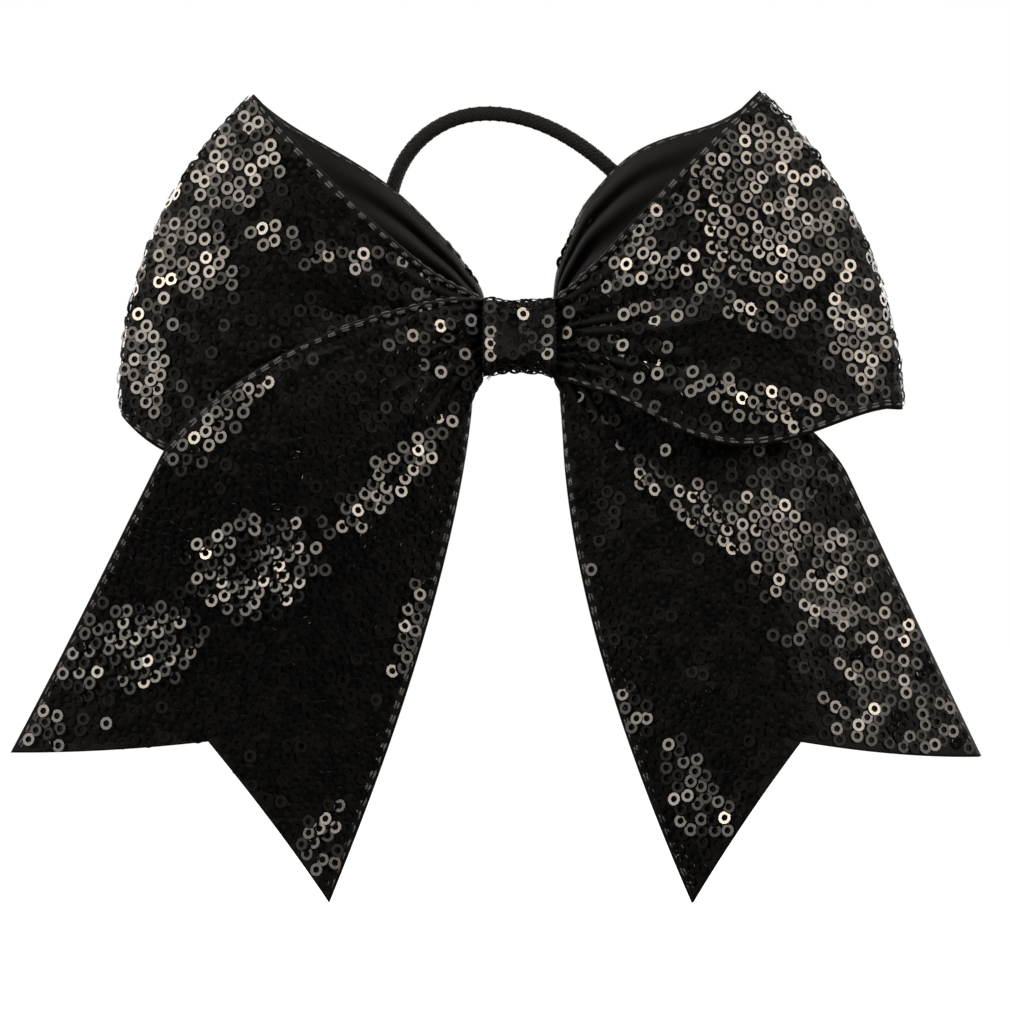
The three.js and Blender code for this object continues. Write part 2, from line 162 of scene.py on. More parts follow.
class RibbonSettings(bpy.types.PropertyGroup):
    """Sizes and colours of the lined ribbon and its stitching."""

    width: bpy.props.FloatProperty(
        name="Width", description="Width of the ribbon, edge to edge",
        default=0.076, min=0.03, max=0.12, unit="LENGTH")
    satin_thickness: bpy.props.FloatProperty(
        name="Satin thickness", description="Thickness of the satin lining",
        default=0.00042, min=0.0002, max=0.001, unit="LENGTH")
    net_thickness: bpy.props.FloatProperty(
        name="Net thickness", description="Thickness of the knitted net under the sequins",
        default=0.00030, min=0.0001, max=0.001, unit="LENGTH")
    pleats: bpy.props.IntProperty(
        name="Pleats", description="Gathers across the ribbon where it leaves the knot",
        default=8, min=1, max=12)
    pleat_depth: bpy.props.FloatProperty(
        name="Pleat depth", description="Height of the gathers beside the knot",
        default=0.0014, min=0, max=0.003, unit="LENGTH")
    pleat_reach: bpy.props.FloatProperty(
        name="Pleat reach", description="Distance over which the gathers fade out",
        default=0.027, min=0.005, max=0.06, unit="LENGTH")
    stitch_pitch: bpy.props.FloatProperty(
        name="Stitch pitch", description="Distance from one edge stitch to the next",
        default=0.00315, min=0.001, max=0.006, unit="LENGTH")
    stitch_length: bpy.props.FloatProperty(
        name="Stitch length", description="Length of one edge stitch",
        default=0.0021, min=0.0008, max=0.005, unit="LENGTH")
    thread_width: bpy.props.FloatProperty(
        name="Thread width", description="Width of the sewing thread",
        default=0.0005, min=0.0002, max=0.001, unit="LENGTH")
    satin_colour: bpy.props.StringProperty(
        name="Satin colour", description="Colour of the satin lining, as sRGB hex", default="1F1F20")
    net_colour: bpy.props.StringProperty(
        name="Net colour", description="Colour of the net, as sRGB hex", default="0B0B0B")
    # The thread's grey is partly its own and partly lightened so that the stitches read as bright lit lines,
    # a painted highlight
    thread_and_highlight_colour: bpy.props.StringProperty(
        name="Thread colour", description="Colour of the sewing thread, as sRGB hex", default="8C8C90")


class SequinSettings(bpy.types.PropertyGroup):
    """Size, lay and colour of the sequins."""

    diameter: bpy.props.FloatProperty(
        name="Diameter", description="Outer diameter of a sequin",
        default=0.0029, min=0.001, max=0.006, unit="LENGTH")
    hole: bpy.props.FloatProperty(
        name="Hole", description="Diameter of a sequin's hole",
        default=0.0014, min=0.0003, max=0.003, unit="LENGTH")
    spacing: bpy.props.FloatProperty(
        name="Spacing", description="Least distance between the middles of two sequins",
        default=0.00232, min=0.001, max=0.006, unit="LENGTH")
    edge: bpy.props.FloatProperty(
        name="Edge", description="Distance of the outermost sequins' middles from the ribbon's edge",
        default=0.0023, min=0.0, max=0.01, unit="LENGTH")
    scatter: bpy.props.FloatProperty(
        name="Scatter", description="How unevenly the sequins lie", default=math.radians(4.5),
        min=0, max=0.6, subtype="ANGLE")
    ripple: bpy.props.FloatProperty(
        name="Ripple", description="How much the net's unevenness tilts the sequins",
        default=math.radians(4), min=0, max=0.6, subtype="ANGLE")
    sides: bpy.props.IntProperty(
        name="Sides", description="Sides of the round outline of a sequin", default=12, min=6, max=24)
    seed: bpy.props.IntProperty(name="Seed", description="Seed of the sequins' lay", default=7, min=0)
    colour: bpy.props.StringProperty(
        name="Colour", description="Colour of the sequins, as sRGB hex", default="151515")


class KnotSettings(bpy.types.PropertyGroup):
    """Shape of the wrap round the knot."""

    waist: bpy.props.FloatProperty(
        name="Waist", description="How far the middle of the wrap is pulled in",
        default=0.0018, min=0, max=0.003, unit="LENGTH")
    wrinkle: bpy.props.FloatProperty(
        name="Wrinkle", description="Depth of the wrinkles that run round the wrap",
        default=0.00028, min=0, max=0.001, unit="LENGTH")
    glue_colour: bpy.props.StringProperty(
        name="Glue colour", description="Colour of the hot-melt glue, as sRGB hex", default="D9D2C2")


class ElasticSettings(bpy.types.PropertyGroup):
    """Braid and colour of the hair elastic."""

    carriers: bpy.props.IntProperty(
        name="Carriers", description="Strands that run each way round the braid", default=8, min=3, max=16)
    lay_length: bpy.props.FloatProperty(
        name="Lay length", description="Length along the cord of one turn of a strand",
        default=0.0085, min=0.002, max=0.03, unit="LENGTH")
    colour: bpy.props.StringProperty(
        name="Colour", description="Colour of the braid, as sRGB hex", default="101113")


class StageSettings(bpy.types.PropertyGroup):
    """Camera and studio light."""

    camera_distance: bpy.props.FloatProperty(
        name="Camera distance", description="Distance of the camera in front of the bow",
        default=0.9, min=0.3, max=5, unit="LENGTH")
    view_width: bpy.props.FloatProperty(
        name="View width", description="Width of the picture at the bow",
        default=0.2161, min=0.05, max=2, unit="LENGTH")
    light: bpy.props.FloatProperty(
        name="Light", description="Brightness of the softboxes", default=1.0, min=0, max=20)


SETTINGS = {
    "bow_ribbon": RibbonSettings,
    "bow_sequins": SequinSettings,
    "bow_knot": KnotSettings,
    "bow_elastic": ElasticSettings,
    "bow_stage": StageSettings,
}

# ---- Meshes ----


def mesh_piece(name, points, faces, material, attributes=None, triangles=None, smooth=True):
    """A mesh object from points in millimetres, quads and, if given, triangles."""
    mesh = bpy.data.meshes.new(name)
    corners = [np.asarray(faces, np.int32).reshape(-1)]
    sizes = [np.full(len(faces), 4, np.int32)]
    if triangles is not None:
        corners.append(np.asarray(triangles, np.int32).reshape(-1))
        sizes.append(np.full(len(triangles), 3, np.int32))
    corners, sizes = np.concatenate(corners), np.concatenate(sizes)
    mesh.vertices.add(len(points))
    mesh.vertices.foreach_set("co", (np.asarray(points, float) * MM).astype(np.float32).reshape(-1))
    mesh.loops.add(len(corners))
    mesh.loops.foreach_set("vertex_index", corners)
    mesh.polygons.add(len(sizes))
    mesh.polygons.foreach_set("loop_start", (np.cumsum(sizes) - sizes).astype(np.int32))
    mesh.polygons.foreach_set("use_smooth", np.full(len(sizes), smooth))
    mesh.update(calc_edges=True)
    for key, values in (attributes or {}).items():
        kind = "FLOAT_VECTOR" if np.ndim(values) == 2 else "FLOAT"
        layer = mesh.attributes.new(key, kind, "POINT")
        layer.data.foreach_set("vector" if kind == "FLOAT_VECTOR" else "value",
                               np.asarray(values, np.float32).reshape(-1))
    mesh.materials.append(material)
    piece = bpy.data.objects.new(name, mesh)
    bpy.context.scene.collection.objects.link(piece)
    return piece


def grid_faces(columns, rows, flip=False):
    """Quads of a grid of (columns + 1) by (rows + 1) points."""
    i, j = np.meshgrid(np.arange(columns), np.arange(rows), indexing="ij")
    a = (i * (rows + 1) + j).reshape(-1)
    quads = np.stack([a, a + rows + 1, a + rows + 2, a + 1], 1)
    return quads[:, ::-1] if flip else quads


def closed_sheet(low, high, flip=False):
    """Points and quads of the closed solid between two grids of points."""
    columns, rows = low.shape[0] - 1, low.shape[1] - 1
    count = low.shape[0] * low.shape[1]
    quads = [grid_faces(columns, rows, not flip), grid_faces(columns, rows, flip) + count]
    at = np.arange(count).reshape(columns + 1, rows + 1)
    for line, turned in ((at[:, 0], False), (at[:, -1], True), (at[0], True), (at[-1], False)):
        wall = np.stack([line[:-1], line[1:], line[1:] + count, line[:-1] + count], 1)
        quads.append(wall[:, ::-1] if turned != flip else wall)
    return np.concatenate([low.reshape(-1, 3), high.reshape(-1, 3)]), np.concatenate(quads)


def end_caps(sides, last):
    """Triangles that close the two ends of a tube, whose last ring of points starts at last."""
    start = [[0, i + 1, i] for i in range(1, sides - 1)]
    return np.array(start + [[last, last + i, last + i + 1] for i in range(1, sides - 1)])


def angles_round(sides):
    return 2 * np.pi * np.arange(sides) / sides


def run_along(line):
    """Distance along a line of points, at each of them."""
    return np.concatenate([[0], np.cumsum(np.linalg.norm(np.diff(line, axis=0), axis=1))])


def unit(vectors):
    return vectors / np.maximum(np.linalg.norm(vectors, axis=-1, keepdims=True), 1e-9)


def lerp(a, b, t):
    return a + (b - a) * t


def ease(t):
    return t * t * (3 - 2 * t)


def swell(t, peak, sharpness):
    """0 at both ends of a line, 1 at its peak."""
    t = np.clip(t, 0, 1)
    return (t / peak) ** (sharpness * peak) * ((1 - t) / (1 - peak)) ** (sharpness * (1 - peak))


def xz(x, z):
    """Points at depth 0."""
    x, z = np.broadcast_arrays(np.asarray(x, float), np.asarray(z, float))
    return np.stack([x, np.zeros_like(x), z], -1)


# ---- Ribbon surfaces ----

# A small step of u or v, over which slopes are taken
NEARBY = 2e-3


class Surface:
    """A stretch of ribbon: place(u, v) in millimetres, u along it and v across it."""

    def __init__(self, place, facing, knot_ends, gathers):
        self.shape = place
        self.facing = facing
        self.knot_ends = knot_ends
        self.gathers = gathers

    def place(self, u, v, pleated=True):
        points, distance, toward = self.shape(u, v)
        tucked = (RIBBON_START - TUCK) * np.exp(-((distance / TUCK_FADE) ** 2))
        points[..., 0] -= np.sign(points[..., 0]) * tucked
        flare = np.where(points[..., 2] > 0, FLARE_ABOVE, FLARE_BELOW)
        points[..., 2] *= 1 + flare * np.exp(-((distance / FLARE_FADE) ** 2))
        points[..., 1] += toward * self.gathers(u, v, distance, pleated)
        return points

    def heading(self, u, v, step=NEARBY, pleated=True):
        """The way along the ribbon, from a step behind to a step ahead."""
        ahead, behind = np.minimum(u + step, 1), np.maximum(u - step, 0)
        return self.place(ahead, v, pleated) - self.place(behind, v, pleated)

    def normals(self, u, v, pleated=True):
        """Unit normals. Beside the knot they are taken a little way out, past the start of the gathers."""
        u = np.clip(u, *self.knot_ends)
        higher, lower = np.minimum(v + NEARBY, 1), np.maximum(v - NEARBY, 0)
        across = self.place(u, higher, pleated) - self.place(u, lower, pleated)
        return unit(np.cross(self.heading(u, v, NEARBY, pleated), across)) * self.facing


def chord_across(bow, width):
    """Straight distance between the edges of a ribbon that bows across its width as a shallow arc."""
    return width - 8 * bow**2 / (3 * width)


def fold_line(loop, v, width):
    """Outer fold of a loop, from its top corner to its bottom corner."""
    half = chord_across(loop["bow"], width) / 2
    up, middle = math.radians(loop["lean"]), math.radians(loop["rise"])
    along = half * (1 - 2 * v)
    out = loop["bow"] * 4 * v * (1 - v)
    return xz(
        loop["side"] * (loop["reach"] * math.cos(middle) - along * math.sin(up) + out * math.cos(up)),
        loop["reach"] * math.sin(middle) + along * math.cos(up) + out * math.sin(up),
    )


def loop_shape(loop, front_depth, width):
    """Goes once round a loop: back of the knot (u = 0), outer fold (u = 0.5), front of the knot (u = 1)."""
    fold_top, fold_bottom = fold_line(loop, 0.0, width), fold_line(loop, 1.0, width)
    corner_top = xz(loop["side"] * RIBBON_START, PASS_HALF_HEIGHT)
    corner_bottom = xz(loop["side"] * RIBBON_START, -PASS_HALF_HEIGHT)

    def place(u, v):
        u, v = np.broadcast_arrays(np.asarray(u, float), np.asarray(v, float))
        turn = 2 * np.pi * u
        out = (1 - np.cos(turn)) / 2
        is_back = u < 0.5

        def pick(part, key):
            return np.where(is_back, loop[f"back{part}"][key], loop[f"front{part}"][key])

        def edge(corner, fold, part):
            line = corner + (fold - corner) * out[..., None]
            lift = pick(part, "rise") * swell(out, pick(part, "peak"), pick(part, "sharpness"))
            line[..., 2] += lift
            return line

        upper, lower = edge(corner_top, fold_top, "_top"), edge(corner_bottom, fold_bottom, "_bottom")
        points = upper + (lower - upper) * v[..., None]
        straight = fold_top + (fold_bottom - fold_top) * v[..., None]
        points += (fold_line(loop, v, width) - straight) * out[..., None]
        depth = lerp(pick("", "top"), pick("", "bottom"), v)
        start = np.where(is_back, BACK_PASS, front_depth)
        swing = np.sin(turn) * np.abs(np.sin(turn / 2)) ** pick("", "fullness")
        points[..., 1] = lerp(start, MIDDLE_PASS - FOLD_DEPTH, out) + depth * swing
        return points, out * loop["reach"], np.where(is_back, 1.0, -1.0)

    return place


def bezier(points, t):
    """Point of a Bezier curve of any degree at t."""
    points = [np.asarray(p, float) for p in points]
    t = np.asarray(t, float)[..., None]
    while len(points) > 1:
        points = [a + (b - a) * t for a, b in zip(points, points[1:])]
    return points[0]


def tail_tip(tail, way, width):
    half = chord_across(tail["crown"], width) / 2 * way
    splay, tilt = math.radians(tail["splay"]), math.radians(tail["tilt"])
    return xz(
        tail["side"] * (tail["reach"] * math.sin(splay) + half * math.cos(tilt)),
        -tail["reach"] * math.cos(splay) + half * math.sin(tilt),
    )


def tail_shape(tail, loop, front_depth, width):
    """Runs from the knot (u = 0) to the cut end (u = 1), and from outer edge (v = 0) to inner (v = 1)."""
    side = tail["side"]
    start = xz(side * RIBBON_START, PASS_HALF_HEIGHT)
    hip = fold_line(loop, 1.0, width) + xz(side * tail["hip"][0], tail["hip"][1])
    tip = tail_tip(tail, 1, width)
    leave = start + xz(side * tail["leave"][0], tail["leave"][1]) / 3
    arrive = hip - (tip - hip) * (BEND / (1 - BEND)) / 3
    low_start, low_tip = xz(side * RIBBON_START, -PASS_HALF_HEIGHT), tail_tip(tail, -1, width)
    low_middle = (low_start + low_tip) / 2 + xz(side * tail["inner_bow"][0], tail["inner_bow"][1])

    def outer(u):
        neck = bezier([start, leave, arrive, hip], np.clip(u / BEND, 0, 1))
        hang = hip + (tip - hip) * ((u - BEND) / (1 - BEND))[..., None]
        return np.where((u < BEND)[..., None], neck, hang)

    def place(u, v):
        u, v = np.broadcast_arrays(np.asarray(u, float), np.asarray(v, float))
        cut = 1 - tail["notch"] / tail["reach"] * (1 - np.abs(2 * v - 1))
        along = np.where(u < BEND, u, lerp(BEND, cut, (u - BEND) / (1 - BEND)))
        edge = outer(along)
        points = edge + (bezier([low_start, low_middle, low_tip], along) - edge) * v[..., None]
        eased = ease(along)
        hung = lerp(front_depth, MIDDLE_PASS + lerp(tail["outer_tip"], tail["inner_tip"], v), eased)
        draped = tail["drape"] * (1 - v**2) * swell(along, **DRAPE)
        points[..., 1] = hung - draped - tail["crown"] * eased * 4 * v * (1 - v)
        return points, along * tail["reach"], np.full(u.shape, -1.0)

    return place


# Folds are soft ridges that run out from the knot: (place across, half width, lift, start, end) with the
# first two as shares of the ribbon's width and the rest in millimetres.
FOLDS = {
    "left_loop": [(0.30, 0.10, 1.6, 6, 60), (0.62, 0.10, 2.2, 4, 62), (0.84, 0.07, 1.2, 8, 50)],
    "right_loop": [(0.22, 0.10, 1.6, 6, 60), (0.52, 0.11, 2.2, 4, 62), (0.80, 0.08, 1.6, 6, 56)],
    "left_tail": [(0.30, 0.10, 1.8, 8, 110), (0.62, 0.12, 1.8, 6, 120)],
    "right_tail": [(0.40, 0.12, 1.6, 10, 120), (0.80, 0.08, 1.2, 8, 90)],
}


def gathers_of(name, ribbon, panel):
    """Lift of the gathers: fine pleats beside the knot, broad folds that run further out."""
    depth, reach = ribbon.pleat_depth / MM, ribbon.pleat_reach / MM

    def waves(v, count, phase):
        return np.sin(2 * np.pi * (count * v + phase))

    def lift(u, v, distance, pleated):
        total = np.zeros(np.broadcast(u, v).shape)
        shown = panel(u)
        for middle, half, height, start, end in FOLDS[name]:
            length = np.clip((distance - start) / (end - start), 0, 1)
            run = np.sin(np.pi * length) ** 2 * (1 - 0.5 * length)
            total += height * shown * run * np.exp(-(((v - middle) / half) ** 2))
        if pleated:
            # The pleats differ in width, height and reach, and are full height from 6 mm out
            spread = v + 0.035 * waves(v, 1.3, 0.2) + 0.018 * waves(v, 3.1, 0.6)
            grow = 0.55 + 0.45 * np.clip(distance / 6, 0, 1)
            uneven = 0.75 + 0.25 * waves(v, 2.3, 0.4)
            fade = np.exp(-((distance / (reach * (0.85 + 0.35 * waves(v, 1.7, 0.15)))) ** 2))
            total += depth * waves(spread, ribbon.pleats, 0.1) * grow * uneven * fade
        return total

    return lift


def make_surface(name, ribbon):
    """The surface of a named stretch of ribbon."""
    width = ribbon.width / MM
    if name == "left_loop":
        shape, facing, ends = loop_shape(LEFT_LOOP, MIDDLE_PASS, width), -1, (0.03, 0.985)
    elif name == "right_loop":
        shape, facing, ends = loop_shape(RIGHT_LOOP, FRONT_PASS, width), 1, (0.03, 0.985)
    elif name == "left_tail":
        shape, facing, ends = tail_shape(LEFT_TAIL, LEFT_LOOP, FRONT_PASS, width), 1, (0.02, 1)
    else:
        shape, facing, ends = tail_shape(RIGHT_TAIL, RIGHT_LOOP, MIDDLE_PASS, width), -1, (0.02, 1)
    front_only = (lambda u: np.clip((u - 0.5) * 8, 0, 1)) if "loop" in name else (lambda u: 1.0)
    return Surface(shape, facing, ends, gathers_of(name, ribbon, front_only))


def sheet_between(surface, columns, rows, low, high, width):
    """Closed solid between two offsets of a surface, with each point's place on the flat ribbon."""
    u, v = np.meshgrid(np.linspace(0, 1, columns + 1), np.linspace(0, 1, rows + 1), indexing="ij")
    points, normals = surface.place(u, v), surface.normals(u, v)
    run = run_along(surface.place(u[:, :1], 0.5)[:, 0])
    flat = np.stack([np.broadcast_to(run[:, None], u.shape), v * width, np.zeros_like(u)], -1)
    solid = closed_sheet(points + normals * low, points + normals * high, surface.facing < 0)
    return *solid, np.concatenate([flat.reshape(-1, 3)] * 2), run[-1]


# ---- Sequins ----


def sequin_ring(settings):
    """Points and faces of one sequin that lies flat: a punched disc with a pressed face and soft rims."""
    outer, inner, sides = settings.diameter / MM / 2, settings.hole / MM / 2, settings.sides
    profile = [(inner, 0.0), (inner + 0.03, 0.07), (outer - 0.04, 0.07), (outer, 0.0)]
    angle = angles_round(sides)
    points = np.concatenate([np.stack([r * np.cos(angle), r * np.sin(angle), np.full(sides, z)], 1)
                             for r, z in profile])
    quads = []
    for ring in range(len(profile)):
        a, b = ring * sides, (ring + 1) % len(profile) * sides
        k = np.arange(sides)
        following = (k + 1) % sides
        quads.append(np.stack([a + k, b + k, b + following, a + following], 1))
    return points, np.concatenate(quads)


def pack_points(points, spacing):
    """Greedy close packing: the points kept, in order, none nearer to another than spacing."""
    tree = KDTree(len(points))
    for i, point in enumerate(points.tolist()):
        tree.insert(point, i)
    tree.balance()
    free = np.ones(len(points), bool)
    kept = []
    for i in range(len(points)):
        if free[i]:
            kept.append(i)
            for _, near, _ in tree.find_range(points[i].tolist(), spacing):
                free[near] = False
    return np.array(kept)


# The machine's rows of sequins break up over this distance
UNEVEN_ROWS = 5.0
# Places tried for a sequin are this far apart
TRIAL_STEP = 0.45


def sequin_places(surface, settings, width, ends, seed):
    """Places (u, v) of the sequins on a surface, close packed inside the ribbon's edges."""
    u_line = np.linspace(ends[0], ends[1], 4000)
    # The pace is that of the longer of two lines near the edges
    lines = surface.place(u_line, 0.12), surface.place(u_line, 0.88)
    pace = np.maximum(*[np.linalg.norm(np.diff(line, axis=0), axis=1) for line in lines])
    run = np.concatenate([[0], np.cumsum(pace)])
    u = np.interp(np.arange(0, run[-1], TRIAL_STEP), run, u_line)
    v = np.linspace(0, 1, int(width / TRIAL_STEP))
    u, v = np.meshgrid(u, v, indexing="ij")
    points = surface.place(u, v)
    span = np.linalg.norm(np.diff(points, axis=1), axis=2)
    from_edge = np.concatenate([np.zeros((len(u), 1)), np.cumsum(span, 1)], 1)
    to_edge = from_edge[:, -1:] - from_edge
    edge = np.minimum(settings.edge / MM, from_edge[:, -1:] * 0.2)
    inside = (from_edge >= edge) & (to_edge >= edge)
    # Taken roughly in order along the ribbon
    jitter = np.random.default_rng(seed).uniform(0, UNEVEN_ROWS, u.shape)
    order = u * run[-1] / (ends[1] - ends[0]) + jitter
    order = np.argsort(order[inside], kind="stable")
    u, v, points = u[inside][order], v[inside][order], points[inside][order]
    kept = pack_points(points, settings.spacing / MM)
    return u[kept], v[kept]


# Where the net has been stroked, its sequins lean out and up together. Each patch is a soft ellipse on the
# front of the ribbon: how far out it lies, as a share of the panel's reach, how far across from the top or
# outer edge, its half length and half width as shares of the ribbon's width, and its turn in degrees.
STROKED = {
    "left_loop": [(0.95, 0.15, 0.15, 0.15, 0), (0.9, 0.45, 0.15, 0.1, 30), (0.95, 0.8, 0.12, 0.07, 90),
                  (0.7, 0.25, 0.1, 0.05, 30), (0.5, 0.2, 0.15, 0.04, 45), (0.6, 0.8, 0.15, 0.05, 0)],
    "right_loop": [(0.75, 0.25, 0.3, 0.2, 75), (0.4, 0.25, 0.25, 0.08, 45), (0.9, 0.75, 0.15, 0.08, 90),
                   (0.65, 0.6, 0.15, 0.05, 30), (0.55, 0.85, 0.25, 0.06, 30), (0.4, 0.05, 0.15, 0.05, 90)],
    "left_tail": [(0.52, 0.43, 0.2, 0.16, 120), (0.28, 0.75, 0.28, 0.08, -25),
                  (0.75, 0.15, 0.25, 0.14, 120), (0.55, 0.95, 0.15, 0.04, 0), (0.95, 0.9, 0.15, 0.06, 0),
                  (0.33, 0.08, 0.15, 0.06, 0), (0.95, 0.05, 0.1, 0.06, 0)],
    "right_tail": [(0.4, 0.5, 0.3, 0.08, -45), (0.55, 0.25, 0.3, 0.15, -30), (0.8, 0.1, 0.3, 0.2, 0),
                   (0.85, 0.85, 0.15, 0.08, 0), (0.7, 0.95, 0.06, 0.05, 0), (0.95, 0.05, 0.1, 0.08, 0)],
}
# Which way stroked sequins face: outwards to the nearer side, to the front and up
STROKED_FACING = (0.40, -0.90, 0.19)
# How ragged a patch's edge is, how many times finer than the net's ripple, and how far past the ellipse it
# starts to fade and over how much, in shares of the ellipse's squared radius
RAGGED, RAGGED_FINENESS = 0.35, 3
PATCH_EDGE, PATCH_FADE = 1.3, 0.5


def stroked_share(name, distance, across, width, front, seed):
    """How far each sequin follows the stroke, 0 to 1."""
    reach = PANELS[name]["reach"]
    share = np.zeros_like(distance)
    ragged = RAGGED * ripple(RAGGED_FINENESS * distance, RAGGED_FINENESS * across, seed)
    for along, over, half_length, half_width, turn in STROKED[name]:
        c, s = math.cos(math.radians(turn)), math.sin(math.radians(turn))
        x, y = distance / width - along * reach / width, across / width - over
        round_it = ((x * c + y * s) / half_length) ** 2 + ((y * c - x * s) / half_width) ** 2
        share = np.maximum(share, np.clip((PATCH_EDGE - round_it + ragged) / PATCH_FADE, 0, 1))
    return share * front


def ripple(s, w, seed):
    """Gentle unevenness of the net, about -1 to 1: seven waves 11 to 26 mm long, laid over each other."""
    draw = np.random.default_rng(seed)
    total = np.zeros_like(s)
    for _ in range(7):
        wave, heading, phase = draw.uniform(11, 26), draw.uniform(0, 2 * np.pi), draw.uniform(0, 2 * np.pi)
        total += np.sin(2 * np.pi * (s * np.cos(heading) + w * np.sin(heading)) / wave + phase)
    return total / 3.2


# A few sequins hang loose and tip further, and all lean a little along the ribbon
LOOSE_SHARE, LOOSE_TIP = 0.03, 3.5
LEAN_ALONG = 0.04
# Where the net turns to one side by less than this, its sequins are stroked towards the bow's nearer side
PLACE_PULL = 0.15
# Threads hold a sequin to the net: it starts to follow the stroke where the cosine between the stroke and the
# net's own facing passes the first value, and follows it freely from the second. The cosine between the
# net's facing and the front limits it in the same way.
THREADS_ALLOW = (0.64, 0.74)
FACES_FRONT = (0.45, 0.70)
# How much of its radius a leaning sequin rises by, since it stands on its lower rim
STAND = 0.85


def between(value, start, end):
    """0 up to the start, 1 from the end on."""
    return np.clip((value - start) / (end - start), 0, 1)


def sequins_on(points, normals, along, settings, lean, stroked, seed, lift=(0.1, 0.35)):
    """All the sequins of a piece as points, faces and a tone for each point."""
    draw = np.random.default_rng(seed)
    count = len(points)
    side = unit(np.cross(normals, along))
    along = np.cross(side, normals)
    loose = np.where(draw.uniform(0, 1, (count, 1)) < LOOSE_SHARE, LOOSE_TIP, 1.0)
    tilt = draw.normal(0, settings.scatter, (count, 2)) * loose + lean * (1 - stroked[:, None])
    tilt[:, 0] += LEAN_ALONG
    out = np.where(normals[:, :1] + PLACE_PULL * np.sign(points[:, :1]) > 0, 1.0, -1.0)
    stroke = unit(np.array(STROKED_FACING) * np.concatenate([out, np.ones((count, 2))], 1))
    allowed = between(np.sum(stroke * normals, 1), *THREADS_ALLOW)
    stroked = stroked * allowed * between(-normals[:, 1], *FACES_FRONT)
    facing = unit(lerp(normals, stroke, stroked[:, None]) + along * tilt[:, :1] + side * tilt[:, 1:])
    first = unit(np.cross(side, facing))
    second = np.cross(facing, first)
    ring, quads = sequin_ring(settings)
    slant = np.linalg.norm(np.cross(facing, normals), axis=1, keepdims=True)
    height = draw.uniform(*lift, (count, 1)) + slant * settings.diameter / MM / 2 * STAND
    centres = points + normals * height
    turned = (ring[None, :, :1] * first[:, None] + ring[None, :, 1:2] * second[:, None]
              + ring[None, :, 2:] * facing[:, None])
    vertices = (centres[:, None] + turned).reshape(-1, 3)
    faces = (quads[None] + (np.arange(count) * len(ring))[:, None, None]).reshape(-1, 4)
    tone = np.repeat(draw.uniform(0, 1, count), len(ring))
    return vertices, faces, tone


# ---- Stitches ----


def stitch_solid(length, width, sides=6):
    """One stitch along X: a short thread that dips into the cloth at both ends."""
    # Place along the stitch, and radius and height as shares of the thread's width
    profile = [(-0.5, 0.10, -0.32), (-0.36, 0.42, -0.05), (0.0, 0.5, 0.10), (0.36, 0.42, -0.05),
               (0.5, 0.10, -0.32)]
    flatten = 0.8
    angle = angles_round(sides)
    rings = [np.stack([np.full(sides, x * length), width * r * np.cos(angle),
                       width * (z + flatten * r * np.sin(angle))], 1) for x, r, z in profile]
    k = np.arange(sides)
    following = (k + 1) % sides
    quads = np.concatenate([np.stack([a + k, a + following, a + sides + following, a + sides + k], 1)
                            for a in sides * np.arange(len(profile) - 1)])
    return np.concatenate(rings), quads, end_caps(sides, sides * (len(profile) - 1))


def stitch_row(surface, v, ends, offset, ribbon):
    """Middles, directions and normals of a row of stitches along the ribbon at v."""
    u = np.linspace(ends[0], ends[1], 3000)
    run = run_along(surface.place(u, v))
    pitch = ribbon.stitch_pitch / MM
    at = np.interp(np.arange(pitch / 2, run[-1], pitch), run, u)
    normals = surface.normals(at, v)
    heading = unit(surface.heading(at, v, NEARBY / 2))
    return surface.place(at, v) + normals * offset, heading, normals * np.sign(offset)


# How far the sewing wanders, as a slope and in millimetres, and how its stitches vary in length
WANDER = 0.06
STITCH_SHARES = (0.82, 1.12)


def stitches_on(rows, ribbon, seed):
    """All the stitches of some rows as points, quads and triangles."""
    draw = np.random.default_rng(seed)
    solid, quads, caps = stitch_solid(ribbon.stitch_length / MM, ribbon.thread_width / MM)
    middles, headings, normals = (np.concatenate(part) for part in zip(*rows))
    side = unit(np.cross(normals, headings))
    headings = unit(headings + side * draw.normal(0, WANDER, (len(side), 1)))
    side = unit(np.cross(normals, headings))
    middles = middles + side * draw.normal(0, WANDER, (len(side), 1))
    up = np.cross(headings, side)
    length = draw.uniform(*STITCH_SHARES, (len(side), 1, 1))
    points = (middles[:, None] + solid[None, :, :1] * length * headings[:, None]
              + solid[None, :, 1:2] * side[:, None] + solid[None, :, 2:] * up[:, None])
    start = (np.arange(len(middles)) * len(solid))[:, None, None]
    return points.reshape(-1, 3), (quads[None] + start).reshape(-1, 4), (caps[None] + start).reshape(-1, 3)


# ---- Materials ----


def linear(hex_colour, alpha=1.0):
    """An sRGB hex colour as linear light."""
    values = [int(hex_colour[i:i + 2], 16) / 255 for i in (0, 2, 4)]
    return (*[c / 12.92 if c <= 0.04045 else ((c + 0.055) / 1.055) ** 2.4 for c in values], alpha)


def add_node(tree, kind, settings=(), feeds=None, **links):
    """Adds a node. settings hold a value for each socket or property named, links feed the sockets named,
    and feeds is an output and the socket of another node that it feeds."""
    node = tree.nodes.new(kind)
    for key, value in dict(settings).items():
        if isinstance(key, int) or key in node.inputs:
            node.inputs[key].default_value = value
        else:
            setattr(node, key, value)
    for socket, source in links.items():
        tree.links.new(source, node.inputs[socket])
    if feeds:
        tree.links.new(node.outputs[feeds[0]], feeds[1])
    return node


def new_material(name, colour, roughness, ior=1.5, **sockets):
    """A Principled material, its node tree, and its shader's sockets."""
    material = bpy.data.materials.new(name)
    material.use_nodes = True
    shader = material.node_tree.nodes["Principled BSDF"].inputs
    sockets = {"Base_Color": linear(colour), "Roughness": roughness, "IOR": ior, **sockets}
    for socket, value in sockets.items():
        shader[socket.replace("_", " ")].default_value = value
    material.diffuse_color = linear(colour)
    return material, material.node_tree, shader


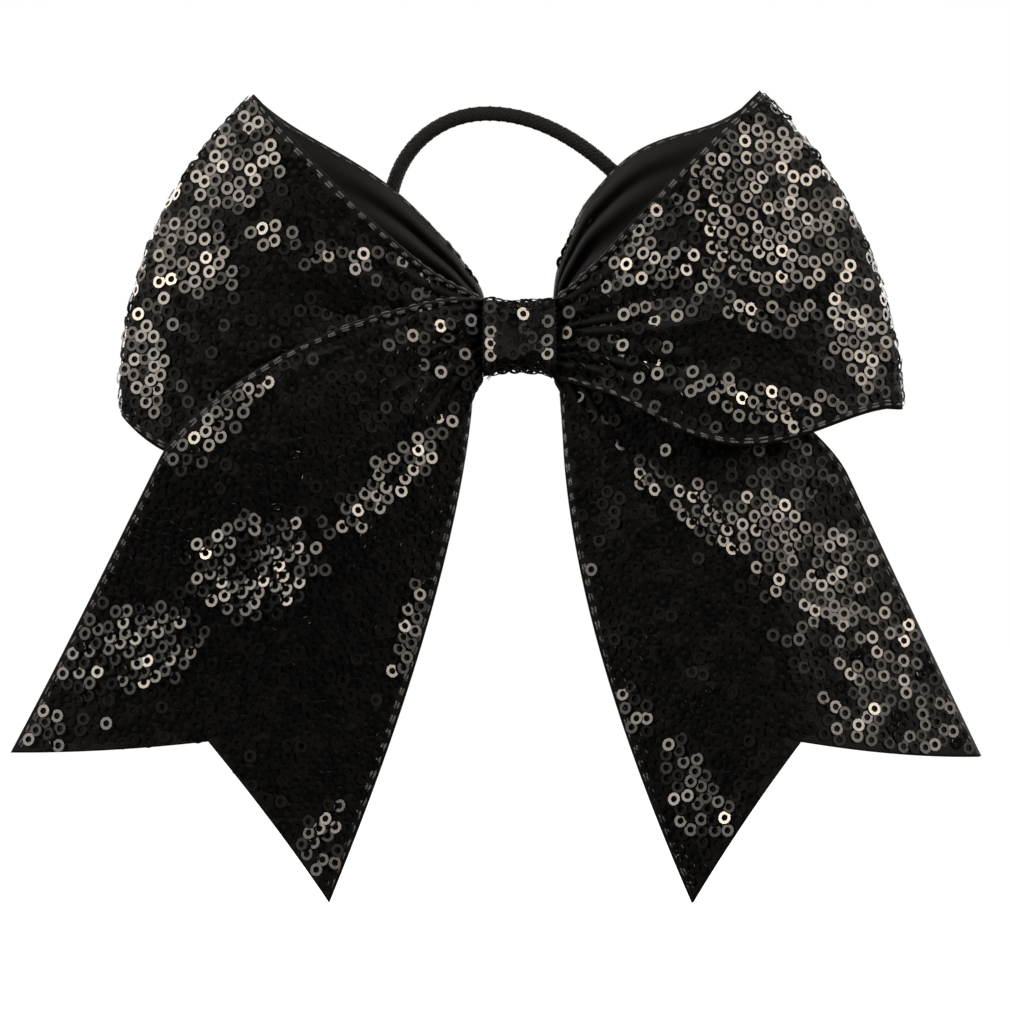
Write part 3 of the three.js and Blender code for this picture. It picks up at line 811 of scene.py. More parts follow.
def two_tones(dark, light):
    """Settings of a Mix node that runs from one hex colour to another."""
    return {"data_type": "RGBA", 6: linear(dark), 7: linear(light)}


def wave_scale(spacing):
    """Scale of a wave texture whose ridges lie this far apart."""
    return 2 * math.pi / (20 * spacing)


# Places on the flat cloth, in millimetres, are stored with its mesh
FLAT = ("ShaderNodeAttribute", {"attribute_name": "flat_mm"})


def woven_satin(ribbon):
    """Woven polyester satin: a dark, smooth lining whose fine ribs run across it and give a soft sheen."""
    material, tree, shader = new_material(
        "woven_polyester_satin", ribbon.satin_colour, 0.55, 1.45,
        Sheen_Weight=0.12, Sheen_Roughness=0.4, Sheen_Tint=linear("8A8A8C"), Anisotropic=0.35)
    flat = add_node(tree, *FLAT).outputs["Vector"]
    # Ribs 0.45 mm apart, coarser than the real 0.2 mm so that they show
    ribs = add_node(tree, "ShaderNodeTexWave", {"Scale": wave_scale(0.45)}, Vector=flat)
    warp = add_node(tree, "ShaderNodeTexWave", {"bands_direction": "Y", "Scale": wave_scale(0.3)},
                    Vector=flat)
    weave = add_node(tree, "ShaderNodeMath", {"operation": "MULTIPLY_ADD", 1: 0.35})
    tree.links.new(warp.outputs["Fac"], weave.inputs[0])
    tree.links.new(ribs.outputs["Fac"], weave.inputs[2])
    # Clouds of shade about 8 mm across
    cloudy = add_node(tree, "ShaderNodeTexNoise", {"Scale": 0.12, "Detail": 3}, Vector=flat)
    add_node(tree, "ShaderNodeMix", two_tones("191919", "242425"), (2, shader["Base Color"]),
             Factor=cloudy.outputs["Fac"])
    add_node(tree, "ShaderNodeBump", {"Strength": 0.5, "Distance": 0.05 * MM}, (0, shader["Normal"]),
             Height=weave.outputs["Value"])
    return material


def knitted_net(ribbon):
    """Knitted polyester net: near black, matt, with small round meshes between its threads."""
    material, tree, shader = new_material("knitted_polyester_net", ribbon.net_colour, 0.75, 1.4)
    flat = add_node(tree, *FLAT).outputs["Vector"]
    # Meshes of the net are about 0.9 mm apart
    meshes = add_node(tree, "ShaderNodeTexVoronoi", {"Scale": 1 / 0.9, "Randomness": 0.35}, Vector=flat)
    add_node(tree, "ShaderNodeMix", two_tones("040404", "111112"), (2, shader["Base Color"]),
             Factor=meshes.outputs["Distance"])
    add_node(tree, "ShaderNodeBump", {"Strength": 0.8, "Distance": 0.12 * MM}, (0, shader["Normal"]),
             Height=meshes.outputs["Distance"])
    return material


def pressed_film(sequins):
    """Pressed black PET film: hard, glossy, scuffed rings, each with its own slightly different shine."""
    material, tree, shader = new_material("pressed_black_pet_film", sequins.colour, 0.2, 1.62)
    tone = add_node(tree, "ShaderNodeAttribute", {"attribute_name": "tone"}).outputs["Fac"]
    add_node(tree, "ShaderNodeMix", two_tones("060606", "0F0E0E"), (2, shader["Base Color"]), Factor=tone)
    add_node(tree, "ShaderNodeMapRange", {"To Min": 0.19, "To Max": 0.36}, (0, shader["Roughness"]),
             Value=tone)
    place = add_node(tree, "ShaderNodeTexCoord").outputs["Object"]
    # Scuffs about 0.4 mm across
    scuff = add_node(tree, "ShaderNodeTexNoise", {"Scale": 1 / (0.4 * MM), "Detail": 2}, Vector=place)
    add_node(tree, "ShaderNodeBump", {"Strength": 0.35, "Distance": 0.02 * MM}, (0, shader["Normal"]),
             Height=scuff.outputs["Fac"])
    return material


def spun_thread(ribbon):
    """Spun polyester sewing thread: two plies twisted together, a little lighter than the cloth. Its grey is
    partly the thread's own and partly lightened so that the stitches read as bright lit lines, a painted
    highlight.
    """
    material, tree, shader = new_material(
        "spun_polyester_thread", ribbon.thread_and_highlight_colour, 0.5, 1.5, Sheen_Weight=0.2)
    place = add_node(tree, "ShaderNodeTexCoord").outputs["Object"]
    # The twist's ridges are 0.35 mm apart
    twist = add_node(
        tree, "ShaderNodeTexWave", {"bands_direction": "DIAGONAL", "Scale": wave_scale(0.35 * MM)},
        Vector=place)
    # The twist's ridges take the thread colour, which is partly a painted highlight
    add_node(tree, "ShaderNodeMix", two_tones("3C3C3E", ribbon.thread_and_highlight_colour), (2, shader["Base Color"]),
             Factor=twist.outputs["Fac"])
    add_node(tree, "ShaderNodeBump", {"Strength": 0.7, "Distance": 0.06 * MM}, (0, shader["Normal"]),
             Height=twist.outputs["Fac"])
    return material


def braided_polyester(elastic):
    """Braided polyester over rubber: matt charcoal strands with a faint fuzz."""
    material, tree, shader = new_material(
        "braided_polyester", elastic.colour, 0.72, 1.45, Sheen_Weight=0.08, Sheen_Roughness=0.5)
    flat = add_node(tree, *FLAT).outputs["Vector"]
    # Filaments 0.14 mm apart run along each strand
    filaments = add_node(tree, "ShaderNodeTexWave", {"bands_direction": "Y", "Scale": wave_scale(0.14)},
                         Vector=flat)
    add_node(tree, "ShaderNodeMix", two_tones("070808", elastic.colour), (2, shader["Base Color"]),
             Factor=filaments.outputs["Fac"])
    add_node(tree, "ShaderNodeBump", {"Strength": 0.6, "Distance": 0.04 * MM}, (0, shader["Normal"]),
             Height=filaments.outputs["Fac"])
    return material


def crimped_steel():
    """Crimped plain steel: bright, with fine marks of the crimping tool."""
    material, tree, shader = new_material("crimped_plain_steel", "B4B6BA", 0.32, 1.5, Metallic=1.0)
    place = add_node(tree, "ShaderNodeTexCoord").outputs["Object"]
    # Marks about 0.8 mm across
    marks = add_node(tree, "ShaderNodeTexNoise", {"Scale": 1 / (0.8 * MM), "Detail": 4}, Vector=place)
    add_node(tree, "ShaderNodeMix", two_tones("8E9094", "C8CACE"), (2, shader["Base Color"]),
             Factor=marks.outputs["Fac"])
    add_node(tree, "ShaderNodeBump", {"Strength": 0.5, "Distance": 0.05 * MM}, (0, shader["Normal"]),
             Height=marks.outputs["Fac"])
    return material


def hot_melt(knot):
    """Set hot-melt glue: cloudy, waxy and a little yellow."""
    material, tree, shader = new_material(
        "hot_melt_glue", knot.glue_colour, 0.35, 1.48, Subsurface_Weight=0.4, Subsurface_Scale=0.001)
    place = add_node(tree, "ShaderNodeTexCoord").outputs["Object"]
    # Clouds about 2 mm across
    cloud = add_node(tree, "ShaderNodeTexNoise", {"Scale": 1 / (2 * MM), "Detail": 3}, Vector=place)
    add_node(tree, "ShaderNodeMix", two_tones("C9C1AE", knot.glue_colour), (2, shader["Base Color"]),
             Factor=cloud.outputs["Fac"])
    add_node(tree, "ShaderNodeBump", {"Strength": 0.4, "Distance": 0.1 * MM}, (0, shader["Normal"]),
             Height=cloud.outputs["Fac"])
    return material


MADE = {}


def shared(maker, *settings):
    """The material a maker gives, made once."""
    if maker not in MADE:
        MADE[maker] = maker(*settings)
    return MADE[maker]


# ---- Ribbon pieces ----


def attach(piece, body, nodes, blend_to=None):
    """Rides a piece on its body or, given blend_to, bakes its place into its mesh, and hides the frame parts
    that it stands for.
    """
    if blend_to:
        joint = next(j for j in frame["joints"] if j["child"] == blend_to)
        hinge, axis = Vector(joint["pos_m"]), Vector(joint["axis"])
        down = axis.cross(Vector((0, 1, 0))).normalized()
        if down.z > 0:
            down.negate()
        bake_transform(piece)
    else:
        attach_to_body(piece, body)
    if nodes:
        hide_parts(*nodes)
    return piece


def sequins_piece(name, surface, scene, ends, seed, net_top):
    """The sequins of one stretch of ribbon."""
    ribbon, settings = scene.bow_ribbon, scene.bow_sequins
    width = ribbon.width / MM
    u, v = sequin_places(surface, settings, width, ends, seed)
    net_normals = surface.normals(u, v)
    points = surface.place(u, v) + net_normals * net_top
    # Sequins are too stiff to follow the pleats more than half way
    normals = unit(surface.normals(u, v, pleated=False) + net_normals)
    along = unit(surface.heading(u, v, pleated=False))
    _, distance, toward = surface.shape(u, v)
    s, w = -distance * toward, v * width
    lean = np.stack([ripple(s, w, seed + 1), ripple(s, w, seed + 2)], 1) * settings.ripple
    stroked = stroked_share(name.removesuffix("_sequins"), distance, w, width, toward < 0, seed + 3)
    vertices, faces, tone = sequins_on(points, normals, along, settings, lean, stroked, seed)
    return mesh_piece(name, vertices, faces, shared(pressed_film, settings), {"tone": tone}, smooth=False)


# Half the gap between the satin and the net, and the rows of faces across them
LAYER_GAP = 0.08
SHEET_ROWS = 64
# The two rows of edge stitches, from the ribbon's edge: the inner one goes through the net only
OUTER_ROW, INNER_ROW = 0.9, 1.6
# Stitches lie this much further out than the face they are sewn on
STITCH_LIFT = 1.05


def ribbon_pieces(scene, name, columns, sequin_ends, stitch_ends, seed, blend_to=None):
    """Satin, net, sequins and stitches of one stretch of ribbon."""
    nodes = [n for n in frame["nodes"] if n.startswith(name)]
    ribbon = scene.bow_ribbon
    width = ribbon.width / MM
    surface = make_surface(name, ribbon)
    satin_low, net_high = -LAYER_GAP - ribbon.satin_thickness / MM, LAYER_GAP + ribbon.net_thickness / MM
    for kind, low, high, slot, maker in (
        ("satin", satin_low, -LAYER_GAP, "ribbon_lining", woven_satin),
        ("net", LAYER_GAP, net_high, "sequin_net", knitted_net),
    ):
        points, quads, flat, length = sheet_between(surface, columns, SHEET_ROWS, low, high, width)
        piece = mesh_piece(f"{name}_{kind}", points, quads, shared(maker, ribbon), {"flat_mm": flat})
        stands_for = [n for n in nodes if n.endswith("_lining" if kind == "satin" else "_sequin_net")]
        attach(piece, "bow", stands_for, blend_to)
    sequins = sequins_piece(f"{name}_sequins", surface, scene, sequin_ends, seed, net_high)
    attach(sequins, "bow", [], blend_to)
    rows = []
    for inset, sides in ((OUTER_ROW, (satin_low, net_high)), (INNER_ROW, (net_high,))):
        for v in (inset / width, 1 - inset / width):
            for offset in sides:
                rows.append(stitch_row(surface, v, stitch_ends, offset * STITCH_LIFT, ribbon))
    points, quads, caps = stitches_on(rows, ribbon, seed)
    stitches = mesh_piece(f"{name}_stitches", points, quads, shared(spun_thread, ribbon), triangles=caps)
    attach(stitches, "bow", [n for n in nodes if n.endswith("_stitching")], blend_to)


# ---- Knot ----


# The wrap's section: the radius of its round corners, its clearance inside the lining's box, the step in its
# back where its end lies over its start, and how far each of them passes the middle
WRAP_CORNER = 2.4
WRAP_INSET = 0.5
WRAP_STEP = 2.6
WRAP_OVERLAP = 4.0
# Faces round the wrap and across it
WRAP_COLUMNS, WRAP_ROWS = 220, 48


def wrap_path(offset, steps=14):
    """Section of the wrap at an offset outside its innermost surface, as points and outward normals in
    (depth, height). It starts at the back, goes down and round the front, and ends over its own start."""
    z = float(WRAP_INNER_HIGH[2]) - WRAP_INSET - WRAP_CORNER
    front = float(WRAP_LOW[1]) + WRAP_THICKNESS + WRAP_CORNER
    back = -WRAP_STEP - WRAP_THICKNESS - WRAP_CORNER
    points, normals = [(back + WRAP_CORNER + offset, WRAP_OVERLAP)], [(1, 0)]
    for y, height, start in ((back, -z, 0), (front, -z, -90), (front, z, -180), (back + WRAP_STEP, z, -270)):
        for i in range(steps + 1):
            angle = math.radians(start - 90 * i / steps)
            r = WRAP_CORNER + offset
            points.append((y + r * math.cos(angle), height + r * math.sin(angle)))
            normals.append((math.cos(angle), math.sin(angle)))
    points.append((back + WRAP_CORNER + WRAP_STEP + offset, -WRAP_OVERLAP))
    normals.append((1, 0))
    return np.array(points), np.array(normals, float), run_along(np.array(points))


def wrap_surface(scene, offset, columns, rows):
    """Points and normals of the wrap on a grid: round the knot by columns, across it by rows."""
    knot = scene.bow_knot
    points, normals, run = wrap_path(offset)
    at = np.linspace(0, run[-1], columns + 1)
    line = np.stack([np.interp(at, run, points[:, k]) for k in (0, 1)], 1)
    out = unit(np.stack([np.interp(at, run, normals[:, k]) for k in (0, 1)], 1))
    across = np.linspace(-1, 1, rows + 1)
    x = across * WRAP_WIDTH / 2
    waist = -knot.waist / MM * (1 - across**2)
    # The hems flare by 0.4 mm, and by up to 1.3 mm under the knot, and their very edge turns in again
    downward = np.clip(-out[:, 1:], 0, 1)
    hem = (0.4 + 0.9 * downward) * np.abs(across) ** 3 - 0.45 * np.abs(across) ** 16
    # Two sets of wrinkles, 3.1 and 1.9 mm apart, wander across the wrap
    wander = 0.9 * np.sin(5 * at / run[-1])[:, None]
    coarse = np.sin(2 * np.pi * (x[None] + wander) / 3.1)
    fine = np.sin(2 * np.pi * (x[None] - wander) / 1.9 + 1)
    wrinkle = knot.wrinkle / MM * (coarse + 0.6 * fine) * (1 - across**6)[None]
    # The back is flat, for a clip or a card
    flat_back = (np.clip((-line[:, 0] - 4) / 4, 0.12, 1) * (0.5 + 0.5 * np.abs(out[:, 1])))[:, None]
    lift = (waist[None] + hem + wrinkle) * flat_back
    place = line[:, None] + out[:, None] * lift[..., None]
    grid = np.stack([np.broadcast_to(x, lift.shape), place[..., 0], place[..., 1]], -1)
    facing = unit(np.cross(np.gradient(grid, axis=1), np.gradient(grid, axis=0)))
    outward = np.stack([np.zeros(len(out)), out[:, 0], out[:, 1]], 1)
    sign = np.sign(np.sum(facing * outward[:, None], -1, keepdims=True))
    flat = np.stack([*np.broadcast_arrays(at[:, None], x[None]), np.zeros_like(lift)], -1)
    return grid, facing * np.where(sign == 0, 1, sign), flat, run[-1]


def wrap_layer(scene, name, low, high, material):
    """One closed layer of the wrap."""
    inner, _, flat, length = wrap_surface(scene, low, WRAP_COLUMNS, WRAP_ROWS)
    outer = wrap_surface(scene, high, WRAP_COLUMNS, WRAP_ROWS)[0]
    points, quads = closed_sheet(inner, outer, True)
    return mesh_piece(name, points, quads, material,
                      {"flat_mm": np.concatenate([flat.reshape(-1, 3)] * 2)}), length


def carried(normal, tangents):
    """A normal carried along a line without twist."""
    normals = []
    for tangent in tangents:
        normal = unit(normal - tangent * np.dot(normal, tangent))
        normals.append(normal)
    return np.array(normals)


def tube_along(path, radius, sides, flatten=1.0, frames=None):
    """Closed tube along points, with its section's two radii, and each point's place (run, round)."""
    path = np.asarray(path, float)
    tangents = unit(np.gradient(path, axis=0))
    if frames is None:
        frames = carried(unit(np.cross(tangents[0], [0.3, 1, 0.2])), tangents)
    side = np.cross(tangents, frames)
    angle = angles_round(sides)
    rings = (path[:, None] + radius * flatten * np.cos(angle)[None, :, None] * frames[:, None]
             + radius * np.sin(angle)[None, :, None] * side[:, None])
    count = len(path)
    ring = np.arange(count - 1)[:, None] * sides
    a = (ring + np.arange(sides)[None]).reshape(-1)
    b = (ring + (np.arange(sides)[None] + 1) % sides).reshape(-1)
    quads = np.stack([a, b, b + sides, a + sides], 1)
    flat = np.stack([np.repeat(run_along(path), sides), np.tile(radius * angle, count),
                     np.zeros(count * sides)], 1)
    return rings.reshape(-1, 3), quads, end_caps(sides, (count - 1) * sides), flat


def joined(parts):
    """Several (points, quads, triangles, flat) as one."""
    starts = np.cumsum([0] + [len(p[0]) for p in parts[:-1]])
    return tuple(np.concatenate([p[k] + (start if k in (1, 2) else 0) for p, start in zip(parts, starts)])
                 for k in range(4))


# ---- Elastic ----


# The ring's width, how far its top leans back for each millimetre of height, its gap to the ferrule and the
# ferrule's wall, how far it runs straight beside the knot, and the distance from point to point
RING_WIDTH = 52.0
RING_LEAN = 0.1
FERRULE_GAP = FERRULE_WALL = 0.3
RING_STRAIGHT = 1.6
RING_STEP = 0.42
# The cord's radius, its rubber core as a share of it, and its strands: half their width, their thickness as
# a share of that, how deep they lie and how far they rise and dip as they cross
CORD_RADIUS = 1.6
CORE_SHARE = 0.8
STRAND_HALF_WIDTH, STRAND_FLATTEN, STRAND_DEPTH, STRAND_WEAVE = 0.44, 0.42, 0.2, 0.09


def ring_path():
    """Centreline of the elastic ring, by the frame's rules."""
    height = float(CORD_HIGH[2]) - (float(FERRULE_HIGH[2]) - FERRULE_WALL)

    def ring(across, up):
        z = up * height
        return (across * RING_WIDTH, CORD_DEPTH + z * RING_LEAN, z)

    start, straight = float(FERRULE_HIGH[0]) + FERRULE_GAP, WRAP_WIDTH / 2 + RING_STRAIGHT
    left, right = (-straight, CORD_DEPTH, 0), (straight, CORD_DEPTH, 0)
    curves = [
        [(start, CORD_DEPTH, 0), right],
        [right, ring(0.44, 0), ring(0.62, 0.5), ring(0.41, 0.72)],
        [ring(0.41, 0.72), ring(0.27, 0.87), ring(0.08, 1), ring(-0.13, 1)],
        [ring(-0.13, 1), ring(-0.35, 1), ring(-0.54, 0.82), ring(-0.54, 0.53)],
        [ring(-0.54, 0.53), ring(-0.54, 0.2), ring(-0.44, 0), left],
        [left, (-start, CORD_DEPTH, 0)],
    ]
    t = np.linspace(0, 1, 200)
    line = np.concatenate([bezier(curve, t)[:-1] for curve in curves] + [np.array([curves[-1][-1]])])
    run = run_along(line)
    at = np.linspace(0, run[-1], int(run[-1] / RING_STEP))
    return np.stack([np.interp(at, run, line[:, k]) for k in range(3)], 1)


def braid(path, carriers, lay_length):
    """Strands of a tubular braid over a core, each way round, passing over and under each other."""
    tangents = unit(np.gradient(path, axis=0))
    first = carried(unit(np.cross(tangents[0], [0, 0, 1])), tangents)
    second = np.cross(tangents, first)
    run = run_along(path)
    parts = [tube_along(path, CORD_RADIUS * CORE_SHARE, 10)]
    for way in (1, -1):
        for k in range(carriers):
            angle = way * 2 * np.pi * run / lay_length + 2 * np.pi * k / carriers
            weave = STRAND_WEAVE * way * np.cos(2 * np.pi * carriers * run / lay_length + np.pi * k)
            out = np.cos(angle)[:, None] * first + np.sin(angle)[:, None] * second
            line = path + out * (CORD_RADIUS - STRAND_DEPTH + weave)[:, None]
            parts.append(tube_along(line, STRAND_HALF_WIDTH, 6, STRAND_FLATTEN, frames=out))
    return joined(parts)


# ---- Operators ----


# Faces along a stretch of ribbon, and the values of u between which its sequins and its stitches lie
LOOP_COLUMNS, LOOP_SEQUINS, LOOP_STITCHES = 260, (0.045, 0.955), (0.04, 0.96)
TAIL_COLUMNS, TAIL_SEQUINS, TAIL_STITCHES = 200, (0.015, 0.986), (0.02, 0.985)


class BOW_OT_loops(bpy.types.Operator):
    """Make the two loops: satin, net, sequins and edge stitches"""

    bl_idname = "bow.loops"
    bl_label = "Loops"

    def execute(self, context):
        for seed, name in ((11, "left_loop"), (12, "right_loop")):
            ribbon_pieces(context.scene, name, LOOP_COLUMNS, LOOP_SEQUINS, LOOP_STITCHES,
                          context.scene.bow_sequins.seed + seed)
        return {"FINISHED"}


class BOW_OT_tails(bpy.types.Operator):
    """Make the two notched tails, which bend where they hang from the bow"""

    bl_idname = "bow.tails"
    bl_label = "Tails"

    def execute(self, context):
        for seed, name in ((13, "left_tail"), (14, "right_tail")):
            ribbon_pieces(context.scene, name, TAIL_COLUMNS, TAIL_SEQUINS, TAIL_STITCHES,
                          context.scene.bow_sequins.seed + seed, blend_to=name)
        return {"FINISHED"}


class BOW_OT_gathers(bpy.types.Operator):
    """Make the gathered ribbon inside the knot and the thread that ties it"""

    bl_idname = "bow.gathers"
    bl_label = "Gathers"

    def execute(self, context):
        ribbon = context.scene.bow_ribbon
        for name, depth in (("front", FRONT_PASS), ("middle", MIDDLE_PASS), ("back", BACK_PASS)):
            piece = self.pleated_pass(name, depth, ribbon)
            attach(piece, "bow", [f"gathered_{name}_pass"])
        self.tie(context.scene)
        return {"FINISHED"}

    def pleated_pass(self, name, depth, ribbon):
        """One stretch of ribbon folded to and fro inside the knot, and pinched at its middle."""
        columns, rows, folds, fold_depth, half_thick, pinch = 24, 240, 12, 1.02, 0.12, 0.3
        x, v = np.meshgrid(np.linspace(-1, 1, columns + 1), np.linspace(0, 1, rows + 1), indexing="ij")
        height = PASS_HALF_HEIGHT * (1 - 2 * v) * (1 - pinch * (1 - x**2))
        y = depth + fold_depth * np.cos(2 * np.pi * folds * v)
        grid = np.stack([x * PASS_END, y, height], -1)
        normals = unit(np.cross(np.gradient(grid, axis=0), np.gradient(grid, axis=1)))
        points, quads = closed_sheet(grid - normals * half_thick, grid + normals * half_thick)
        flat = np.stack([x * PASS_END, v * ribbon.width / MM, 0 * x], -1).reshape(-1, 3)
        return mesh_piece(f"pleated_{name}_pass", points, quads, shared(woven_satin, ribbon),
                          {"flat_mm": np.concatenate([flat] * 2)})

    def tie(self, scene):
        """Two-ply thread wound round the waist of the passes."""
        turns, steps, twists, inset, ply_offset, ply_radius = 3, 420, 60, 0.3, 0.13, 0.16
        low, high = box_mm("gathering_thread")
        middle, half = (low + high) / 2, (high - low) / 2 - inset
        turn = np.linspace(0, 2 * np.pi * turns, steps)
        c, s = np.cos(turn), np.sin(turn)
        # Each turn is a rounded square
        scale = (c**8 + s**8) ** (-1 / 8)
        line = np.stack([np.linspace(low[0] + inset, high[0] - inset, steps),
                         middle[1] + half[1] * scale * s, middle[2] + half[2] * scale * c], 1)
        tangents = unit(np.gradient(line, axis=0))
        out = unit((line - [0, middle[1], middle[2]]) * [0, 1, 1])
        side = np.cross(tangents, out)
        parts = []
        for ply in (0, math.pi):
            roll = np.linspace(0, 2 * np.pi * twists, steps) + ply
            strand = line + ply_offset * (np.cos(roll)[:, None] * out + np.sin(roll)[:, None] * side)
            parts.append(tube_along(strand, ply_radius, 6))
        points, quads, caps, _ = joined(parts)
        thread = shared(spun_thread, scene.bow_ribbon)
        piece = mesh_piece("tied_thread", points, quads, thread, triangles=caps)
        attach(piece, "bow", ["gathering_thread"])


# The two layers of the wrap and its sequins, as offsets from its innermost surface
WRAP_SATIN, WRAP_NET, WRAP_SEQUINS = (0.0, 0.5), (0.6, 0.95), 1.0
# Sequins start this far along the wrap, past the end under the overlap, and this far from its edges
SEQUINS_START, SEQUINS_INSET = 11, 1.3
# On the wrap's front the outer sequins are stroked: where that starts and is full, as shares of the half
# width, and how strongly
WRAP_STROKED, WRAP_STROKE = (0.6, 0.85), 0.65
# The wrap is pulled tight, so its sequins lie closer to the net
WRAP_LIFT = (0.0, 0.12)


class BOW_OT_knot(bpy.types.Operator):
    """Make the sequined wrap round the knot and the glue that closes it"""

    bl_idname = "bow.knot"
    bl_label = "Knot"

    def execute(self, context):
        scene = context.scene
        ribbon = scene.bow_ribbon
        satin, length = wrap_layer(scene, "knot_wrap_cloth", *WRAP_SATIN, shared(woven_satin, ribbon))
        attach(satin, "bow", ["knot_wrap_lining"])
        net, _ = wrap_layer(scene, "knot_wrap_net", *WRAP_NET, shared(knitted_net, ribbon))
        attach(net, "bow", ["knot_wrap_sequin_net"])
        sequins = self.knot_sequins(scene)
        attach(sequins, "bow", [])
        self.glue(scene)
        return {"FINISHED"}

    def knot_sequins(self, scene):
        """Sequins all round the wrap, apart from the end that lies under the overlap."""
        settings = scene.bow_sequins
        grid, normals, flat, _ = wrap_surface(scene, WRAP_SEQUINS, WRAP_COLUMNS, 40)
        shown = (flat[..., 0] > SEQUINS_START) & (np.abs(flat[..., 1]) < WRAP_WIDTH / 2 - SEQUINS_INSET)
        points, normals = grid[shown], normals[shown]
        kept = pack_points(points, settings.spacing / MM)
        points, normals = points[kept], normals[kept]
        along = np.broadcast_to(np.array([1.0, 0, 0]), points.shape)
        edge = np.abs(points[:, 0]) / (WRAP_WIDTH / 2)
        stroked = between(edge, *WRAP_STROKED) * (normals[:, 1] < -0.5) * WRAP_STROKE
        lean = np.stack([ripple(points[:, 0], points[:, 2], settings.seed + k) for k in (5, 6)], 1)
        vertices, faces, tone = sequins_on(points, normals, along, settings, lean * settings.ripple,
                                           stroked, settings.seed + 15, WRAP_LIFT)
        return mesh_piece("knot_sequins", vertices, faces, shared(pressed_film, settings), {"tone": tone},
                          smooth=False)

    def glue(self, scene):
        """A pressed bead of glue between the ends of the wrap."""
        low, high = box_mm("wrap_glue_seam")
        middle, half = (low + high) / 2, (high - low) / 2
        columns, rows = 48, 24
        a, b = np.meshgrid(np.linspace(-np.pi, np.pi, columns, endpoint=False),
                           np.linspace(-np.pi / 2, np.pi / 2, rows + 1), indexing="ij")

        def power(value, exponent):
            return np.sign(value) * np.abs(value) ** exponent

        # A squarish cushion, squeezed flat, with a slightly uneven edge
        squareness, fullness, flatness, uneven = 0.5, 0.4, 0.8, 0.05
        spread = power(np.cos(b), fullness) * (1 + uneven * np.sin(5 * a) * np.cos(b))
        points = np.stack([half[0] * power(np.cos(a), squareness) * spread,
                           half[1] * power(np.sin(b), flatness),
                           half[2] * power(np.sin(a), squareness) * spread], -1)
        k, j = np.meshgrid(np.arange(columns), np.arange(1, rows - 1), indexing="ij")
        following = (k + 1) % columns
        quads = np.stack([k * (rows + 1) + j, k * (rows + 1) + j + 1,
                          following * (rows + 1) + j + 1, following * (rows + 1) + j], -1).reshape(-1, 4)
        ends = np.arange(columns)
        after = (ends + 1) % columns
        caps = np.concatenate([
            np.stack([ends * 0, ends * (rows + 1) + 1, after * (rows + 1) + 1], 1),
            np.stack([ends * 0 + rows, after * (rows + 1) + rows - 1, ends * (rows + 1) + rows - 1], 1)])
        used = np.unique(np.concatenate([quads.reshape(-1), caps.reshape(-1)]))
        renumber = np.full(points.shape[0] * points.shape[1], -1)
        renumber[used] = np.arange(len(used))
        piece = mesh_piece("glue_bead", points.reshape(-1, 3)[used] + middle, renumber[quads],
                           shared(hot_melt, scene.bow_knot), triangles=renumber[caps])
        attach(piece, "bow", ["wrap_glue_seam"])


class BOW_OT_elastic(bpy.types.Operator):
    """Make the braided elastic ring and finish the ferrule that joins its ends"""

    bl_idname = "bow.elastic"
    bl_label = "Elastic"

    def execute(self, context):
        elastic = context.scene.bow_elastic
        points, quads, caps, flat = braid(ring_path(), elastic.carriers, elastic.lay_length / MM)
        piece = mesh_piece("braided_elastic", points, quads, shared(braided_polyester, elastic),
                           {"flat_mm": flat}, triangles=caps)
        attach(piece, "elastic", ["elastic_cord"])
        ferrule = frame["nodes"]["elastic_ferrule"]
        ferrule.data.materials.clear()
        ferrule.data.materials.append(shared(crimped_steel))
        return {"FINISHED"}


# The softboxes face this height, and each is (name, azimuth, elevation, distance, width, height, radiance,
# colour), in degrees and metres. A lamp in front of each front softbox gives the bright sequins their glint.
LIT_HEIGHT = -0.03
SOFTBOXES = (
    ("right_softbox", 50, 20, 0.8, 0.24, 0.36, 7.8, "FFF4EA"),
    ("right_lamp", 50, 20, 0.78, 0.07, 0.07, 50.0, "FFEBD0"),
    ("left_softbox", -50, 20, 0.8, 0.24, 0.36, 7.0, "FFF8F0"),
    ("left_lamp", -50, 20, 0.78, 0.07, 0.07, 60.0, "FFEBD0"),
    ("top_softbox", 0, 75, 0.8, 0.5, 0.25, 2.0, "FFFFFF"),
    ("back_left_softbox", 130, 20, 0.9, 0.3, 0.45, 9.0, "FFF8F0"),
    ("back_right_softbox", -130, 20, 0.9, 0.3, 0.45, 9.0, "FFF4EA"),
)
# Brightness of the room that the bow reflects, beside 1 for the white behind it
ROOM = 0.035
FLOOR_HALF, FLOOR_DROP = 3.0, 0.05
# The camera looks straight at the bow from the front, a little to its left and below the knot, in metres
CAMERA_X, CAMERA_Z = -0.003, -0.0362
SENSOR_WIDTH = 36


